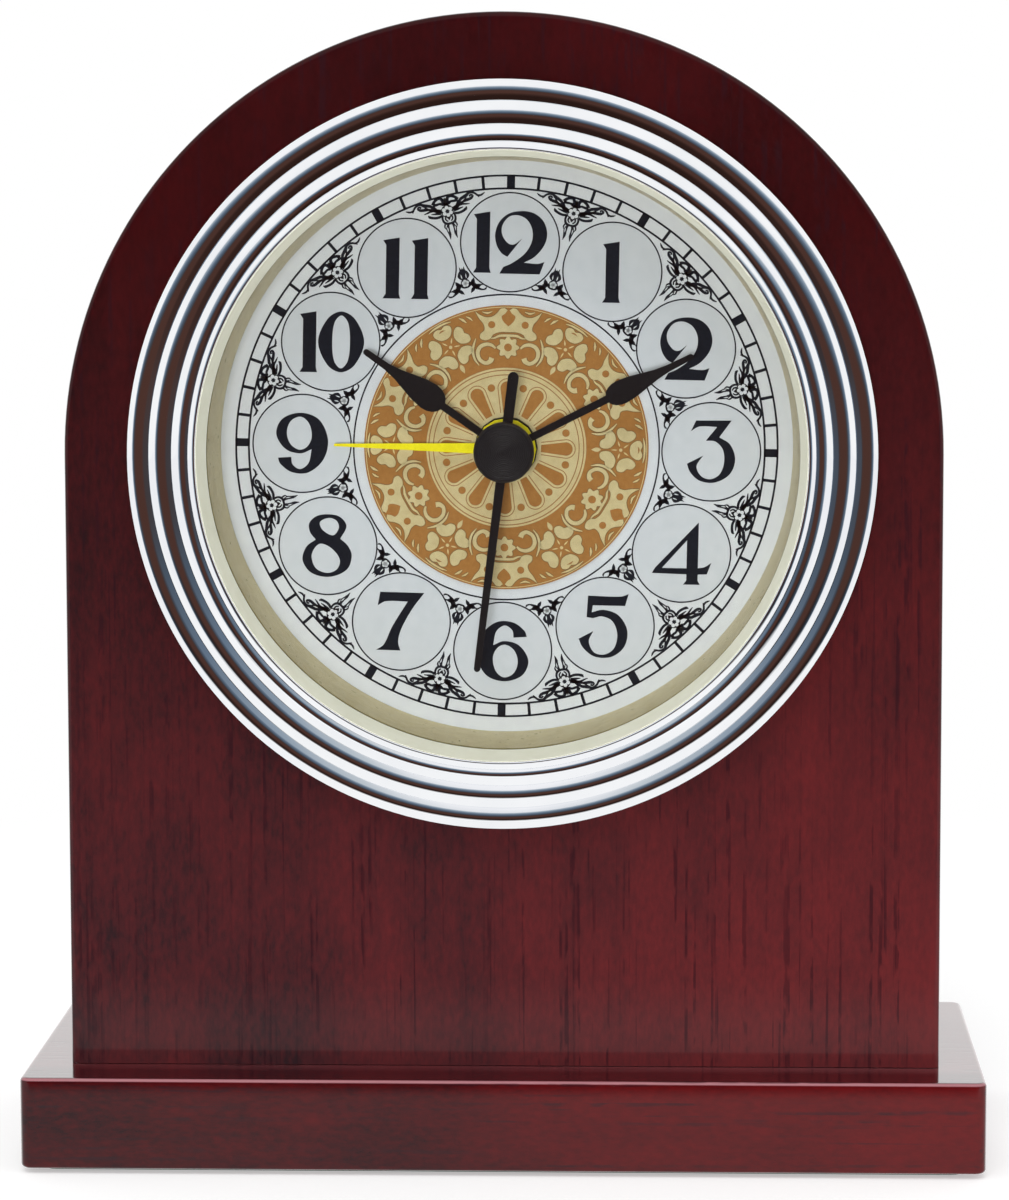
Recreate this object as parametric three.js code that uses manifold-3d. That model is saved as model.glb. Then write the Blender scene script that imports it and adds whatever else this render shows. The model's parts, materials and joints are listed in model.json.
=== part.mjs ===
// Arched wooden table clock with a quartz alarm movement.
// Millimetres, +Z up, the front faces -Y, the origin is under the middle of the base.
import * as THREE from "three";
import { mergeVertices } from "three/addons/utils/BufferGeometryUtils.js";
import Module from "manifold-3d";

const wasm = await Module();
wasm.setup();

const TURN = 2 * Math.PI;
const DEGREE = TURN / 360;

// Clearances
const SEAT_GAP = 0.1;
const PART_GAP = 0.3;
const PIVOT_GAP = 0.15;

// Wooden stand
const BASE_WIDTH = 133;
const BASE_DEPTH = 57;
const BASE_HEIGHT = 12.7;
const BASE_CORNER = 1.6;
const BASE_EDGE = 1;
const ARCH_WIDTH = 121;
const ARCH_THICKNESS = 36;
const ARCH_SETBACK = 10;
const ARCH_EDGE = 0.8;
const CENTRE_ABOVE_BASE = 85.3;
const FELT_THICKNESS = 0.6;
const FELT_INSET = 3;
const BASE_SCREW_RADIUS = 2;
const BASE_SCREW_HEAD_RADIUS = 4;
const BASE_SCREW_HEAD_HEIGHT = 2.4;
const BASE_SCREW_LENGTH = 34;
const BASE_SCREW_SPACING = 76;

// Clock insert, as depths from the wooden front face, positive towards the viewer
const BEZEL_RADIUS = 52;
const BEZEL_STEP_WIDTHS = [3, 3.3, 2.5, 1.6];
const BEZEL_STEP_HEIGHTS = [1.2, 1.5, 1.1];
const BEZEL_BEAD_RISE = 1.5;
const BEZEL_LIP_DROP = 0.6;
const BEZEL_THROAT_TAPER = 0.7;
const BEZEL_THROAT_DEPTH = 0.7;
const LENS_THICKNESS = 1.6;
const LENS_SEAT_WIDTH = 1.7;
const DIAL_DEPTH = 15.1;
const DIAL_THICKNESS = 0.5;
const DIAL_LEDGE_WIDTH = 2.2;
const DIAL_LEDGE_THICKNESS = 0.8;
const REHAUT_TAPER = 0.65;
const CENTRE_DISC_RADIUS = 20;
const CENTRE_DISC_THICKNESS = 0.25;
const CAN_WALL = 1.2;
const CAN_REAR_WALL = 1.4;
const FIT_RING_THICKNESS = 1;
const FIT_RING_LENGTH = 8;
const FIT_RING_DEPTH = 5;

// Movement housing
const MOVEMENT_SIZE = 58;
const MOVEMENT_CORNER = 4;
const MOVEMENT_WALL = 1.5;
const MOVEMENT_DEPTH = 14.2;
const COVER_THICKNESS = 1.6;
const PLATE_THICKNESS = 1;
const POST_RADIUS = 1.5;
const PLATE_POST_X = 14.5;
const PLATE_POST_Y = 11.5;
const BUSHING_WALL = 1.05;
const BUSHING_ABOVE_DIAL = 1.7;
const NUT_RADIUS = 4.45;
const NUT_HEIGHT = 1.2;
const COVER_SCREW_INSET = 4.6;
const COVER_SCREW_RADIUS = 0.9;
const COVER_SCREW_HEAD_RADIUS = 1.9;
const COVER_SCREW_HEAD_HEIGHT = 1.1;
const COVER_SCREW_LENGTH = 7;
const COVER_SCREW_SLOT = 0.5;

// Concentric arbors, from the middle outwards
const SECOND_ARBOR_RADIUS = 0.45;
const TUBE_WALL = 0.5;
const ARBOR_RADIUS = 0.5;
const ROTOR_ARBOR_RADIUS = 0.35;
const SETTING_SHAFT_RADIUS = 0.9;

// Gear teeth, as shares of the module and of one tooth's pitch
const ADDENDUM = 0.8;
const TIP_SHARE = 0.1;
const PINION_DEDENDUM = 1.15;
const PINION_ROOT_SHARE = 0.27;
const WHEEL_DEDENDUM = 1.8;
const WHEEL_THICKNESS = 0.7;
const PINION_THICKNESS = 1.1;
const WHEEL_SPACE = 0.9;
const CANNON_SPACE = 1.1;

// Wheel counts and modules
const TEETH = {
  rotorPinion: 6,
  intermediateWheel: 36,
  intermediatePinion: 6,
  secondWheel: 30,
  secondPinion: 6,
  thirdWheel: 45,
  thirdPinion: 6,
  centreWheel: 48,
  cannonPinion: 8,
  motionWheel: 24,
  motionPinion: 8,
  hourWheel: 32,
  timePinion: 10,
  alarmWheel: 30,
  alarmPinion: 10,
};
const ROTOR_MODULE = 0.25;
const SECOND_MODULE = 0.36;
const THIRD_MODULE = 0.34;
const MOTION_MODULE = 0.5;
const ALARM_MODULE = 0.46;

// Directions from one arbor to the next, anticlockwise from the right as seen from the front
const INTERMEDIATE_ANGLE = 150 * DEGREE;
const ROTOR_ANGLE = 120 * DEGREE;
const THIRD_ANGLE = 60 * DEGREE;
const MOTION_ANGLE = 200 * DEGREE;
const TIME_SHAFT_ANGLE = 190 * DEGREE;
const ALARM_SHAFT_ANGLE = -36 * DEGREE;

// Stepping motor
const ROTOR_MAGNET_RADIUS = 1.9;
const ROTOR_MAGNET_LENGTH = 1.4;
const STATOR_THICKNESS = 0.8;
const STATOR_GAP = 0.5;
const STATOR_AIR_GAP = 0.4;
const STATOR_RING = 1.3;
const COIL_LENGTH = 21;
const COIL_RADIUS = 3.3;
const COIL_SHIFT = -3;
const COIL_INSET = 4.2;
const COIL_CORE_WIDTH = 3;
const COIL_CORE_THICKNESS = 1;
const COIL_FLANGE = 0.8;
const BOBBIN_WALL = 0.6;

// Electronics and supply
const BOARD_WIDTH = 12;
const BOARD_LENGTH = 14;
const BOARD_THICKNESS = 0.8;
const CRYSTAL_RADIUS = 1;
const CRYSTAL_LENGTH = 6;
const CRYSTAL_ABOVE_BOARD_END = 6;
const SOUNDER_RADIUS = 6.2;
const SOUNDER_THICKNESS = 0.6;
const BATTERY_RADIUS = 7.1;
const BATTERY_LENGTH = 49.2;
const BATTERY_NUB_RADIUS = 2.6;
const BATTERY_NUB_LENGTH = 1;
const SPRING_SPACE = 2.9;
const CONTACT_THICKNESS = 0.4;
const CONTACT_WIDTH = 8;
const CONTACT_BEND = 1.2;
const BAY_WALL = 1.2;
const DOOR_THICKNESS = 1.4;
const DOOR_LIP = 1.4;
const DOOR_RIDGES = 4;
const DOOR_RIDGE_PITCH = 1.4;
const DOOR_RIDGE_LENGTH = 16;
const DOOR_RIDGE_HEIGHT = 0.5;

// Controls on the back
const KNOB_RADIUS = 4.4;
const KNOB_LENGTH = 3.4;
const KNOB_FLUTES = 12;
const KNOB_FLUTE_DEPTH = 0.35;
const KNOB_END = 1;
const SWITCH_TRAVEL = 3.6;
const SWITCH_WIDTH = 3.2;
const SWITCH_LENGTH = 5;
const SWITCH_HEIGHT = 1.8;
const SWITCH_STEM = 1.8;
const SWITCH_INSET = 7;
const SWITCH_Y = 9;
const SOUND_SLOTS = 5;
const SOUND_SLOT_WIDTH = 0.9;
const SOUND_SLOT_PITCH = 2;

// Hands: lengths from the arbor and heights above the dial
const HAND_THICKNESS = 0.35;
const HAND_PITCH = 1.85;
const ALARM_HAND_HEIGHT = 2.6;
const HOUR_HAND = { length: 24.1, neck: 10.6, widest: 13, width: 3.9, arm: 1.05, tip: 0.85, waist: 20.2 };
const MINUTE_HAND = { length: 29.4, neck: 16, widest: 18.2, width: 3.35, arm: 1.05, tip: 0.8, waist: 25.4 };
const BULB = {
  neckWidth: 0.7,
  neckRise: 0.1,
  shoulder: 0.5,
  fall: 0.3,
  taper: 0.35,
  taperWidth: 0.75,
  waistWidth: 0.6,
};
const ALARM_HAND_LENGTH = 24.1;
const ALARM_HAND_WIDTH = 1.7;
const ALARM_HAND_TIP = 0.35;
const ALARM_BOSS_RADIUS = 4.3;
const SECOND_HAND_LENGTH = 31;
const SECOND_HAND_TAIL = 11.2;
const SECOND_TIP_WIDTH = 0.9;
const SECOND_TAIL_WIDTH = 1.5;
const HAND_BOSS_RADIUS = 3.2;
const CAP_RADIUS = 4.2;
const CAP_HEIGHT = 1.7;
const CAP_EDGE = 0.4;

// Where the hands stand, in degrees clockwise from twelve: ten past ten and half a minute
const HOUR_AT = 305.26;
const MINUTE_AT = 63.15;
const SECOND_AT = 187.2;
const ALARM_AT = 271.4;

// Facets
const FINE = 48;
const ROUND = 40;
const MEDIUM = 24;
const SMALL = 16;
const TINY = 8;
const BEAD_STEPS = 4;
const HAND_STEPS = 4;
const BORE_STEPS = 4;
const CORNER_STEPS = 2;
const EDGE_STEPS = 2;

// Depths of the insert, worked out from the sizes above
const lensFront = -BEZEL_THROAT_DEPTH - SEAT_GAP;
const lensBack = lensFront - LENS_THICKNESS;
const dialFront = -DIAL_DEPTH;
const dialBack = dialFront - DIAL_THICKNESS;
const ledgeFront = dialBack - SEAT_GAP;
const ledgeBack = ledgeFront - DIAL_LEDGE_THICKNESS;
const movementFront = ledgeBack - SEAT_GAP;
const movementInside = movementFront - MOVEMENT_WALL;
const movementBack = movementFront - MOVEMENT_DEPTH;
const coverBack = movementBack - SEAT_GAP - COVER_THICKNESS;
const canBack = coverBack + (COVER_THICKNESS - CAN_REAR_WALL) / 2;
const doorFront = coverBack - SEAT_GAP;
const doorBack = doorFront - DOOR_THICKNESS;
const knobFront = coverBack - PART_GAP;
const knobBack = knobFront - KNOB_LENGTH;

// Housing: as high as it is set, and at least as wide as the battery and its contacts need
const insideHeight = MOVEMENT_SIZE / 2 - MOVEMENT_WALL;
const cellReach = BATTERY_LENGTH + BATTERY_NUB_LENGTH + SPRING_SPACE + 2 * (CONTACT_THICKNESS + SEAT_GAP);
const insideHalf = Math.max(insideHeight, cellReach / 2 + SEAT_GAP);
const movementWidth = 2 * (insideHalf + MOVEMENT_WALL);
const movementReach = MOVEMENT_CORNER + Math.hypot(
  movementWidth / 2 - MOVEMENT_CORNER, MOVEMENT_SIZE / 2 - MOVEMENT_CORNER);
const batteryDrop = insideHeight - BATTERY_RADIUS - SEAT_GAP;
const coilHeight = insideHeight - COIL_INSET;
const switchX = SWITCH_INSET - movementWidth / 2;

// Radii of the insert, worked out inwards from the bezel
const lipOuter = BEZEL_RADIUS - BEZEL_STEP_WIDTHS[0] - BEZEL_STEP_WIDTHS[1] - BEZEL_STEP_WIDTHS[2];
const lipInner = lipOuter - BEZEL_STEP_WIDTHS[3];
const throatRadius = lipInner - BEZEL_THROAT_TAPER;
const lensRadius = throatRadius + LENS_SEAT_WIDTH;
const rehautOuter = lensRadius;
const rehautInnerFront = throatRadius;
const rehautInnerBack = rehautInnerFront - REHAUT_TAPER;
const ledgeInner = lensRadius + PART_GAP - DIAL_LEDGE_WIDTH;
const canInner = Math.max(lensRadius, movementReach) + PART_GAP;
const canOuter = canInner + CAN_WALL;
const boreRadius = canOuter + FIT_RING_THICKNESS;

// Radii of the concentric tubes
const cannonInner = SECOND_ARBOR_RADIUS + PIVOT_GAP;
const cannonOuter = cannonInner + TUBE_WALL;
const hourInner = cannonOuter + PIVOT_GAP;
const hourOuter = hourInner + TUBE_WALL;
const alarmInner = hourOuter + PIVOT_GAP;
const alarmOuter = alarmInner + TUBE_WALL;
const bushingInner = alarmOuter + PIVOT_GAP;
const bushingOuter = bushingInner + BUSHING_WALL;

// Wheel levels behind the movement's front plate, each a middle depth
const alarmLevel = movementInside - PART_GAP - PINION_THICKNESS / 2;
const hourLevel = alarmLevel - WHEEL_THICKNESS - WHEEL_SPACE;
const cannonLevel = hourLevel - WHEEL_THICKNESS - CANNON_SPACE;
const centreLevel = cannonLevel - WHEEL_THICKNESS - CANNON_SPACE;
const middlePlateFront = centreLevel - PINION_THICKNESS / 2 - PART_GAP;
const middlePlateBack = middlePlateFront - PLATE_THICKNESS;
const thirdLevel = middlePlateBack - PART_GAP - PINION_THICKNESS / 2;
const secondLevel = thirdLevel - PINION_THICKNESS - PIVOT_GAP;
const intermediateLevel = secondLevel - PINION_THICKNESS - PIVOT_GAP;

// Heights of the hands
const alarmHandBack = dialFront + ALARM_HAND_HEIGHT;
const hourHandBack = alarmHandBack + HAND_PITCH;
const minuteHandBack = hourHandBack + HAND_PITCH;
const secondHandBack = minuteHandBack + HAND_PITCH;

// Places of the arbors
function pitchRadius(teeth, module) {
  return (teeth * module) / 2;
}

function beside(from, angle, distance) {
  return new THREE.Vector2(from.x + distance * Math.cos(angle), from.y + distance * Math.sin(angle));
}

const thirdDistance = pitchRadius(TEETH.secondPinion + TEETH.thirdWheel, THIRD_MODULE);
const CENTRE_MODULE = (2 * thirdDistance) / (TEETH.thirdPinion + TEETH.centreWheel);
const motionDistance = pitchRadius(TEETH.cannonPinion + TEETH.motionWheel, MOTION_MODULE);
const HOUR_MODULE = (2 * motionDistance) / (TEETH.motionPinion + TEETH.hourWheel);
const centreAt = new THREE.Vector2(0, 0);
const intermediateAt = beside(
  centreAt, INTERMEDIATE_ANGLE, pitchRadius(TEETH.intermediatePinion + TEETH.secondWheel, SECOND_MODULE));
const rotorAt = beside(
  intermediateAt, ROTOR_ANGLE, pitchRadius(TEETH.rotorPinion + TEETH.intermediateWheel, ROTOR_MODULE));
const thirdAt = beside(centreAt, THIRD_ANGLE, thirdDistance);
const motionAt = beside(centreAt, MOTION_ANGLE, motionDistance);
const timeShaftAt = beside(
  motionAt, TIME_SHAFT_ANGLE, pitchRadius(TEETH.timePinion + TEETH.motionWheel, MOTION_MODULE));
const alarmShaftAt = beside(
  centreAt, ALARM_SHAFT_ANGLE, pitchRadius(TEETH.alarmPinion + TEETH.alarmWheel, ALARM_MODULE));

// Materials
function finish(color, roughness, metalness, more = {}) {
  return new THREE.MeshStandardMaterial({ color, roughness, metalness, ...more });
}

const MAHOGANY = finish(0x4a1418, 0.18, 0);
const CHROME = finish(0xd8dade, 0.06, 1);
const GLASS = finish(0xffffff, 0.02, 0, { transparent: true, opacity: 0.12 });
const CREAM_GOLD = finish(0xbfb48c, 0.4, 0.3);
const SILVER_WHITE = finish(0xc8d0d2, 0.5, 0.1);
const GOLD = finish(0xbe8246, 0.35, 0.6);
const BLACK_PAINT = finish(0x14161a, 0.4, 0.2);
const YELLOW_PAINT = finish(0xe1d728, 0.45, 0);
const BLACK_PLASTIC = finish(0x17181a, 0.55, 0);
const WHITE_PLASTIC = finish(0xe4e2da, 0.5, 0);
const STEEL = finish(0x9a9da0, 0.35, 1);
const BRASS = finish(0xb5923f, 0.35, 1);
const COPPER = finish(0xa5592b, 0.4, 0.8);
const BOARD_GREEN = finish(0x1f5a38, 0.6, 0);
const RUBBER = finish(0x1b1b1c, 0.9, 0);
const FELT = finish(0x24402f, 0.95, 0);
const CELL_JACKET = finish(0x3c4a5c, 0.4, 0.2);

// Closed solids
function solidOf(geometry) {
  const bare = geometry.clone();
  for (const name of Object.keys(bare.attributes)) {
    if (name !== "position") bare.deleteAttribute(name);
  }
  const merged = mergeVertices(bare);
  const points = merged.attributes.position.array;
  const corners = merged.index.array;
  const kept = [];
  let volume = 0;
  for (let i = 0; i < corners.length; i += 3) {
    const [a, b, c] = [corners[i], corners[i + 1], corners[i + 2]];
    if (a === b || b === c || c === a) continue;
    kept.push(a, b, c);
    const [p, q, r] = [a, b, c].map((k) => new THREE.Vector3().fromArray(points, 3 * k));
    volume += p.dot(q.cross(r));
  }
  if (volume < 0) kept.reverse();
  const mesh = new wasm.Mesh({
    numProp: 3,
    vertProperties: new Float32Array(points),
    triVerts: new Uint32Array(kept),
  });
  return new wasm.Manifold(mesh);
}

function join(first, ...others) {
  return others.reduce((whole, piece) => whole.add(piece), first);
}

function cut(first, ...others) {
  return others.reduce((whole, piece) => whole.subtract(piece), first);
}

function geometryOf(solid) {
  const mesh = solid.getMesh();
  const geometry = new THREE.BufferGeometry();
  geometry.setAttribute("position", new THREE.BufferAttribute(new Float32Array(mesh.vertProperties), 3));
  geometry.setIndex(new THREE.BufferAttribute(new Uint32Array(mesh.triVerts), 1));
  geometry.computeVertexNormals();
  return geometry;
}

// Basic forms, with depth along z
function prism(shape, back, front, curveSegments = CORNER_STEPS) {
  const depth = front - back;
  const geometry = new THREE.ExtrudeGeometry(shape, { depth, bevelEnabled: false, curveSegments });
  return solidOf(geometry.translate(0, 0, back));
}

function turned(profile, segments) {
  const outline = profile.map(([radius, depth]) => new THREE.Vector2(radius, depth));
  return solidOf(new THREE.LatheGeometry(outline, segments).rotateX(TURN / 4));
}

function ring(inner, outer, back, front, segments) {
  return turned([[inner, back], [outer, back], [outer, front], [inner, front], [inner, back]], segments);
}

function rod(radius, back, front, at, segments = SMALL) {
  const geometry = new THREE.CylinderGeometry(radius, radius, front - back, segments);
  return solidOf(geometry.rotateX(TURN / 4).translate(at.x, at.y, (front + back) / 2));
}

function block(left, right, bottom, top, back, front) {
  const geometry = new THREE.BoxGeometry(right - left, top - bottom, front - back);
  return solidOf(geometry.translate((left + right) / 2, (bottom + top) / 2, (back + front) / 2));
}

function roundedRectangle(width, height, radius) {
  const x = width / 2 - radius;
  const y = height / 2 - radius;
  const shape = new THREE.Shape();
  shape.absarc(x, y, radius, 0, TURN / 4);
  shape.absarc(-x, y, radius, TURN / 4, TURN / 2);
  shape.absarc(-x, -y, radius, TURN / 2, (3 * TURN) / 4);
  shape.absarc(x, -y, radius, (3 * TURN) / 4, TURN);
  return shape;
}

// Gears: a wheel has pointed gullets, a pinion has flat ones
function toothedOutline(teeth, corners) {
  const outline = [];
  for (let tooth = 0; tooth < teeth; tooth += 1) {
    for (const [radius, share] of corners) {
      const angle = ((tooth + share) * TURN) / teeth;
      outline.push(new THREE.Vector2(radius * Math.cos(angle), radius * Math.sin(angle)));
    }
  }
  return new THREE.Shape(outline);
}

function gear(outline, level, thickness, at, turn, bore) {
  if (bore) outline.holes.push(new THREE.Path().absarc(0, 0, bore, 0, TURN, true));
  const half = thickness / 2;
  const blank = prism(outline, level - half, level + half, BORE_STEPS);
  return blank.rotate([0, 0, turn / DEGREE]).translate([at.x, at.y, 0]);
}

function wheel(teeth, module, level, at, turn, bore) {
  const tip = pitchRadius(teeth, module) + ADDENDUM * module;
  const root = pitchRadius(teeth, module) - WHEEL_DEDENDUM * module;
  const corners = [[tip, -TIP_SHARE], [tip, TIP_SHARE], [root, 0.5]];
  return gear(toothedOutline(teeth, corners), level, WHEEL_THICKNESS, at, turn, bore);
}

function pinion(teeth, module, level, at, turn, bore) {
  const tip = pitchRadius(teeth, module) + ADDENDUM * module;
  const root = pitchRadius(teeth, module) - PINION_DEDENDUM * module;
  const corners = [
    [root, -PINION_ROOT_SHARE],
    [tip, -TIP_SHARE],
    [tip, TIP_SHARE],
    [root, PINION_ROOT_SHARE],
  ];
  return gear(toothedOutline(teeth, corners), level, PINION_THICKNESS, at, turn, bore);
}

// The turn that puts a driven gear's gap where the driving gear's tooth points at it
function meshTurn(teeth, turn, at, drivenTeeth, drivenAt) {
  const direction = Math.atan2(drivenAt.y - at.y, drivenAt.x - at.x);
  const phase = ((direction - turn) * teeth) / TURN;
  return direction + TURN / 2 - ((0.5 - phase) * TURN) / drivenTeeth;
}

const secondTurn = 0;
const intermediateTurn = meshTurn(
  TEETH.secondWheel, secondTurn, centreAt, TEETH.intermediatePinion, intermediateAt);
const rotorTurn = meshTurn(
  TEETH.intermediateWheel, intermediateTurn, intermediateAt, TEETH.rotorPinion, rotorAt);
const thirdTurn = meshTurn(TEETH.secondPinion, secondTurn, centreAt, TEETH.thirdWheel, thirdAt);
const centreTurn = meshTurn(TEETH.thirdPinion, thirdTurn, thirdAt, TEETH.centreWheel, centreAt);
const cannonTurn = 0;
const motionTurn = meshTurn(TEETH.cannonPinion, cannonTurn, centreAt, TEETH.motionWheel, motionAt);
const hourTurn = meshTurn(TEETH.motionPinion, motionTurn, motionAt, TEETH.hourWheel, centreAt);
const timeShaftTurn = meshTurn(TEETH.motionWheel, motionTurn, motionAt, TEETH.timePinion, timeShaftAt);
const alarmTurn = 0;
const alarmShaftTurn = meshTurn(TEETH.alarmWheel, alarmTurn, centreAt, TEETH.alarmPinion, alarmShaftAt);

// The assembly: a stand in the object's frame, and a clock whose z axis points at the viewer
const clockTable = new THREE.Group();
const stand = new THREE.Group();
const clock = new THREE.Group();
const baseTop = FELT_THICKNESS + SEAT_GAP + BASE_HEIGHT;
const archBottom = baseTop + SEAT_GAP;
const archFront = -BASE_DEPTH / 2 + ARCH_SETBACK;
const centreHeight = baseTop + CENTRE_ABOVE_BASE;
clock.position.set(0, archFront, centreHeight);
clock.rotation.x = TURN / 4;
clockTable.add(stand, clock);

function place(group, name, solid, material) {
  const mesh = new THREE.Mesh(geometryOf(solid), material);
  mesh.name = name;
  group.add(mesh);
}

// Base, felt and screws
function softBlock(shape, height, edge) {
  const geometry = new THREE.ExtrudeGeometry(shape, {
    depth: height - 2 * edge,
    bevelThickness: edge,
    bevelSize: edge,
    bevelOffset: -edge,
    bevelSegments: EDGE_STEPS,
    curveSegments: CORNER_STEPS,
  });
  return solidOf(geometry.translate(0, 0, edge));
}

const woodBottom = FELT_THICKNESS + SEAT_GAP;
const screwHeadBottom = woodBottom + PART_GAP;
const screwTop = screwHeadBottom + BASE_SCREW_LENGTH;
const screwArchY = archFront + ARCH_THICKNESS / 2;
const screwPlaces = { left: -BASE_SCREW_SPACING / 2, right: BASE_SCREW_SPACING / 2 };

function baseScrew(x, grow, bottom) {
  const head = BASE_SCREW_HEAD_RADIUS + grow;
  const shank = BASE_SCREW_RADIUS + grow;
  const screw = turned([
    [0, bottom],
    [head, bottom],
    [head, screwHeadBottom + PIVOT_GAP],
    [shank, screwHeadBottom + BASE_SCREW_HEAD_HEIGHT],
    [shank, screwTop - 2 * BASE_SCREW_RADIUS],
    [0, screwTop + grow],
  ], TINY);
  return screw.translate([x, screwArchY, 0]);
}

const screwHoles = Object.values(screwPlaces).map((x) => baseScrew(x, PIVOT_GAP, 0));
const plinth = softBlock(roundedRectangle(BASE_WIDTH, BASE_DEPTH, BASE_CORNER), BASE_HEIGHT, BASE_EDGE);
place(stand, "base_plinth", cut(plinth.translate([0, 0, woodBottom]), ...screwHoles), MAHOGANY);

const feltShape = roundedRectangle(BASE_WIDTH - 2 * FELT_INSET, BASE_DEPTH - 2 * FELT_INSET, BASE_CORNER);
place(stand, "base_felt", prism(feltShape, 0, FELT_THICKNESS), FELT);
for (const [side, x] of Object.entries(screwPlaces)) {
  place(stand, `base_screw_${side}`, baseScrew(x, 0, screwHeadBottom), STEEL);
}

// Arched case, shaped in the clock's frame and bored for the insert
function archCase() {
  const half = ARCH_WIDTH / 2;
  const bottom = archBottom - centreHeight;
  const shape = new THREE.Shape();
  shape.moveTo(-half, bottom - 2 * ARCH_EDGE);
  shape.lineTo(half, bottom - 2 * ARCH_EDGE);
  shape.absarc(0, 0, half, 0, TURN / 2);
  const geometry = new THREE.ExtrudeGeometry(shape, {
    depth: ARCH_THICKNESS - 2 * ARCH_EDGE,
    bevelThickness: ARCH_EDGE,
    bevelSize: ARCH_EDGE,
    bevelOffset: -ARCH_EDGE,
    bevelSegments: EDGE_STEPS,
    curveSegments: MEDIUM,
  });
  const whole = solidOf(geometry.translate(0, 0, ARCH_EDGE - ARCH_THICKNESS));
  const below = block(-ARCH_WIDTH, ARCH_WIDTH, bottom - ARCH_WIDTH, bottom,
    -2 * ARCH_THICKNESS, ARCH_THICKNESS);
  const bore = rod(boreRadius, -2 * ARCH_THICKNESS, ARCH_THICKNESS, centreAt, ROUND);
  const holes = screwHoles.map((hole) =>
    hole.translate([0, -archFront, -centreHeight]).rotate([-90, 0, 0]));
  return cut(whole, below, bore, ...holes);
}

place(clock, "arch_case", archCase(), MAHOGANY);

// Chrome bezel: three beads that step up towards the glass, then a lip and a tapered throat
function bead(outer, inner, foot, end) {
  const middle = (outer + inner) / 2;
  const half = (outer - inner) / 2;
  const points = [];
  for (let step = 0; step <= BEAD_STEPS; step += 1) {
    const angle = (step / BEAD_STEPS) * (TURN / 2);
    const slope = foot + (end - foot) * (step / BEAD_STEPS);
    points.push([middle + half * Math.cos(angle), slope + BEZEL_BEAD_RISE * Math.sin(angle)]);
  }
  return points;
}

function bezelProfile() {
  const profile = [[BEZEL_RADIUS, SEAT_GAP]];
  let outer = BEZEL_RADIUS;
  let foot = SEAT_GAP + BEZEL_STEP_HEIGHTS[0] / 2;
  for (let step = 0; step < BEZEL_STEP_HEIGHTS.length; step += 1) {
    const inner = outer - BEZEL_STEP_WIDTHS[step];
    const end = foot + BEZEL_STEP_HEIGHTS[step];
    profile.push(...bead(outer, inner, foot, end));
    outer = inner;
    foot = end;
  }
  const lipTop = foot + BEZEL_BEAD_RISE / 2;
  profile.push([outer - BEZEL_STEP_WIDTHS[3] / 2, lipTop]);
  profile.push([lipInner, lipTop - BEZEL_LIP_DROP]);
  profile.push([throatRadius, -BEZEL_THROAT_DEPTH]);
  profile.push([lensRadius, -BEZEL_THROAT_DEPTH]);
  profile.push([lensRadius, SEAT_GAP]);
  profile.push([BEZEL_RADIUS, SEAT_GAP]);
  return profile;
}

place(clock, "bezel", turned(bezelProfile(), FINE), CHROME);
place(clock, "lens", rod(lensRadius, lensBack, lensFront, centreAt, ROUND), GLASS);

// Rehaut ring, dial and the gold disc on it
const rehautFront = lensBack - SEAT_GAP;
const rehautBack = dialFront + SEAT_GAP;
place(clock, "rehaut_ring", turned([
  [rehautInnerBack, rehautBack],
  [rehautOuter, rehautBack],
  [rehautOuter, rehautFront],
  [rehautInnerFront, rehautFront],
  [rehautInnerBack, rehautBack],
], ROUND), CREAM_GOLD);
const dialHole = bushingOuter + SEAT_GAP;
place(clock, "dial_plate", ring(dialHole, rehautOuter, dialBack, dialFront, ROUND), SILVER_WHITE);
const centreDiscBack = dialFront + SEAT_GAP / 2;
const centreDiscFront = centreDiscBack + CENTRE_DISC_THICKNESS;
place(clock, "dial_centre_disc",
  ring(dialHole, CENTRE_DISC_RADIUS, centreDiscBack, centreDiscFront, MEDIUM), GOLD);
const nutBack = centreDiscFront + SEAT_GAP;
place(clock, "dial_nut",
  ring(bushingOuter + SEAT_GAP, NUT_RADIUS, nutBack, nutBack + NUT_HEIGHT, SMALL), BLACK_PAINT);

// Cup that holds the dial on a ledge, with a square window for the movement's back
function insertCan() {
  const cup = turned([
    [0, canBack],
    [canOuter, canBack],
    [canOuter, 0],
    [canInner, 0],
    [canInner, ledgeFront],
    [ledgeInner, ledgeFront],
    [ledgeInner, ledgeBack],
    [canInner, ledgeBack],
    [canInner, canBack + CAN_REAR_WALL],
    [0, canBack + CAN_REAR_WALL],
  ], ROUND);
  const windowShape = roundedRectangle(
    movementWidth + 2 * PART_GAP, MOVEMENT_SIZE + 2 * PART_GAP, MOVEMENT_CORNER + PART_GAP);
  return cut(cup, prism(windowShape, canBack - CAN_REAR_WALL, canBack + 2 * CAN_REAR_WALL));
}

place(clock, "insert_can", insertCan(), BLACK_PLASTIC);
const fitInner = canOuter + SEAT_GAP;
const fitOuter = boreRadius - SEAT_GAP;
const fitBack = -FIT_RING_DEPTH - FIT_RING_LENGTH;
place(clock, "fit_ring", ring(fitInner, fitOuter, fitBack, -FIT_RING_DEPTH, ROUND), RUBBER);

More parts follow.
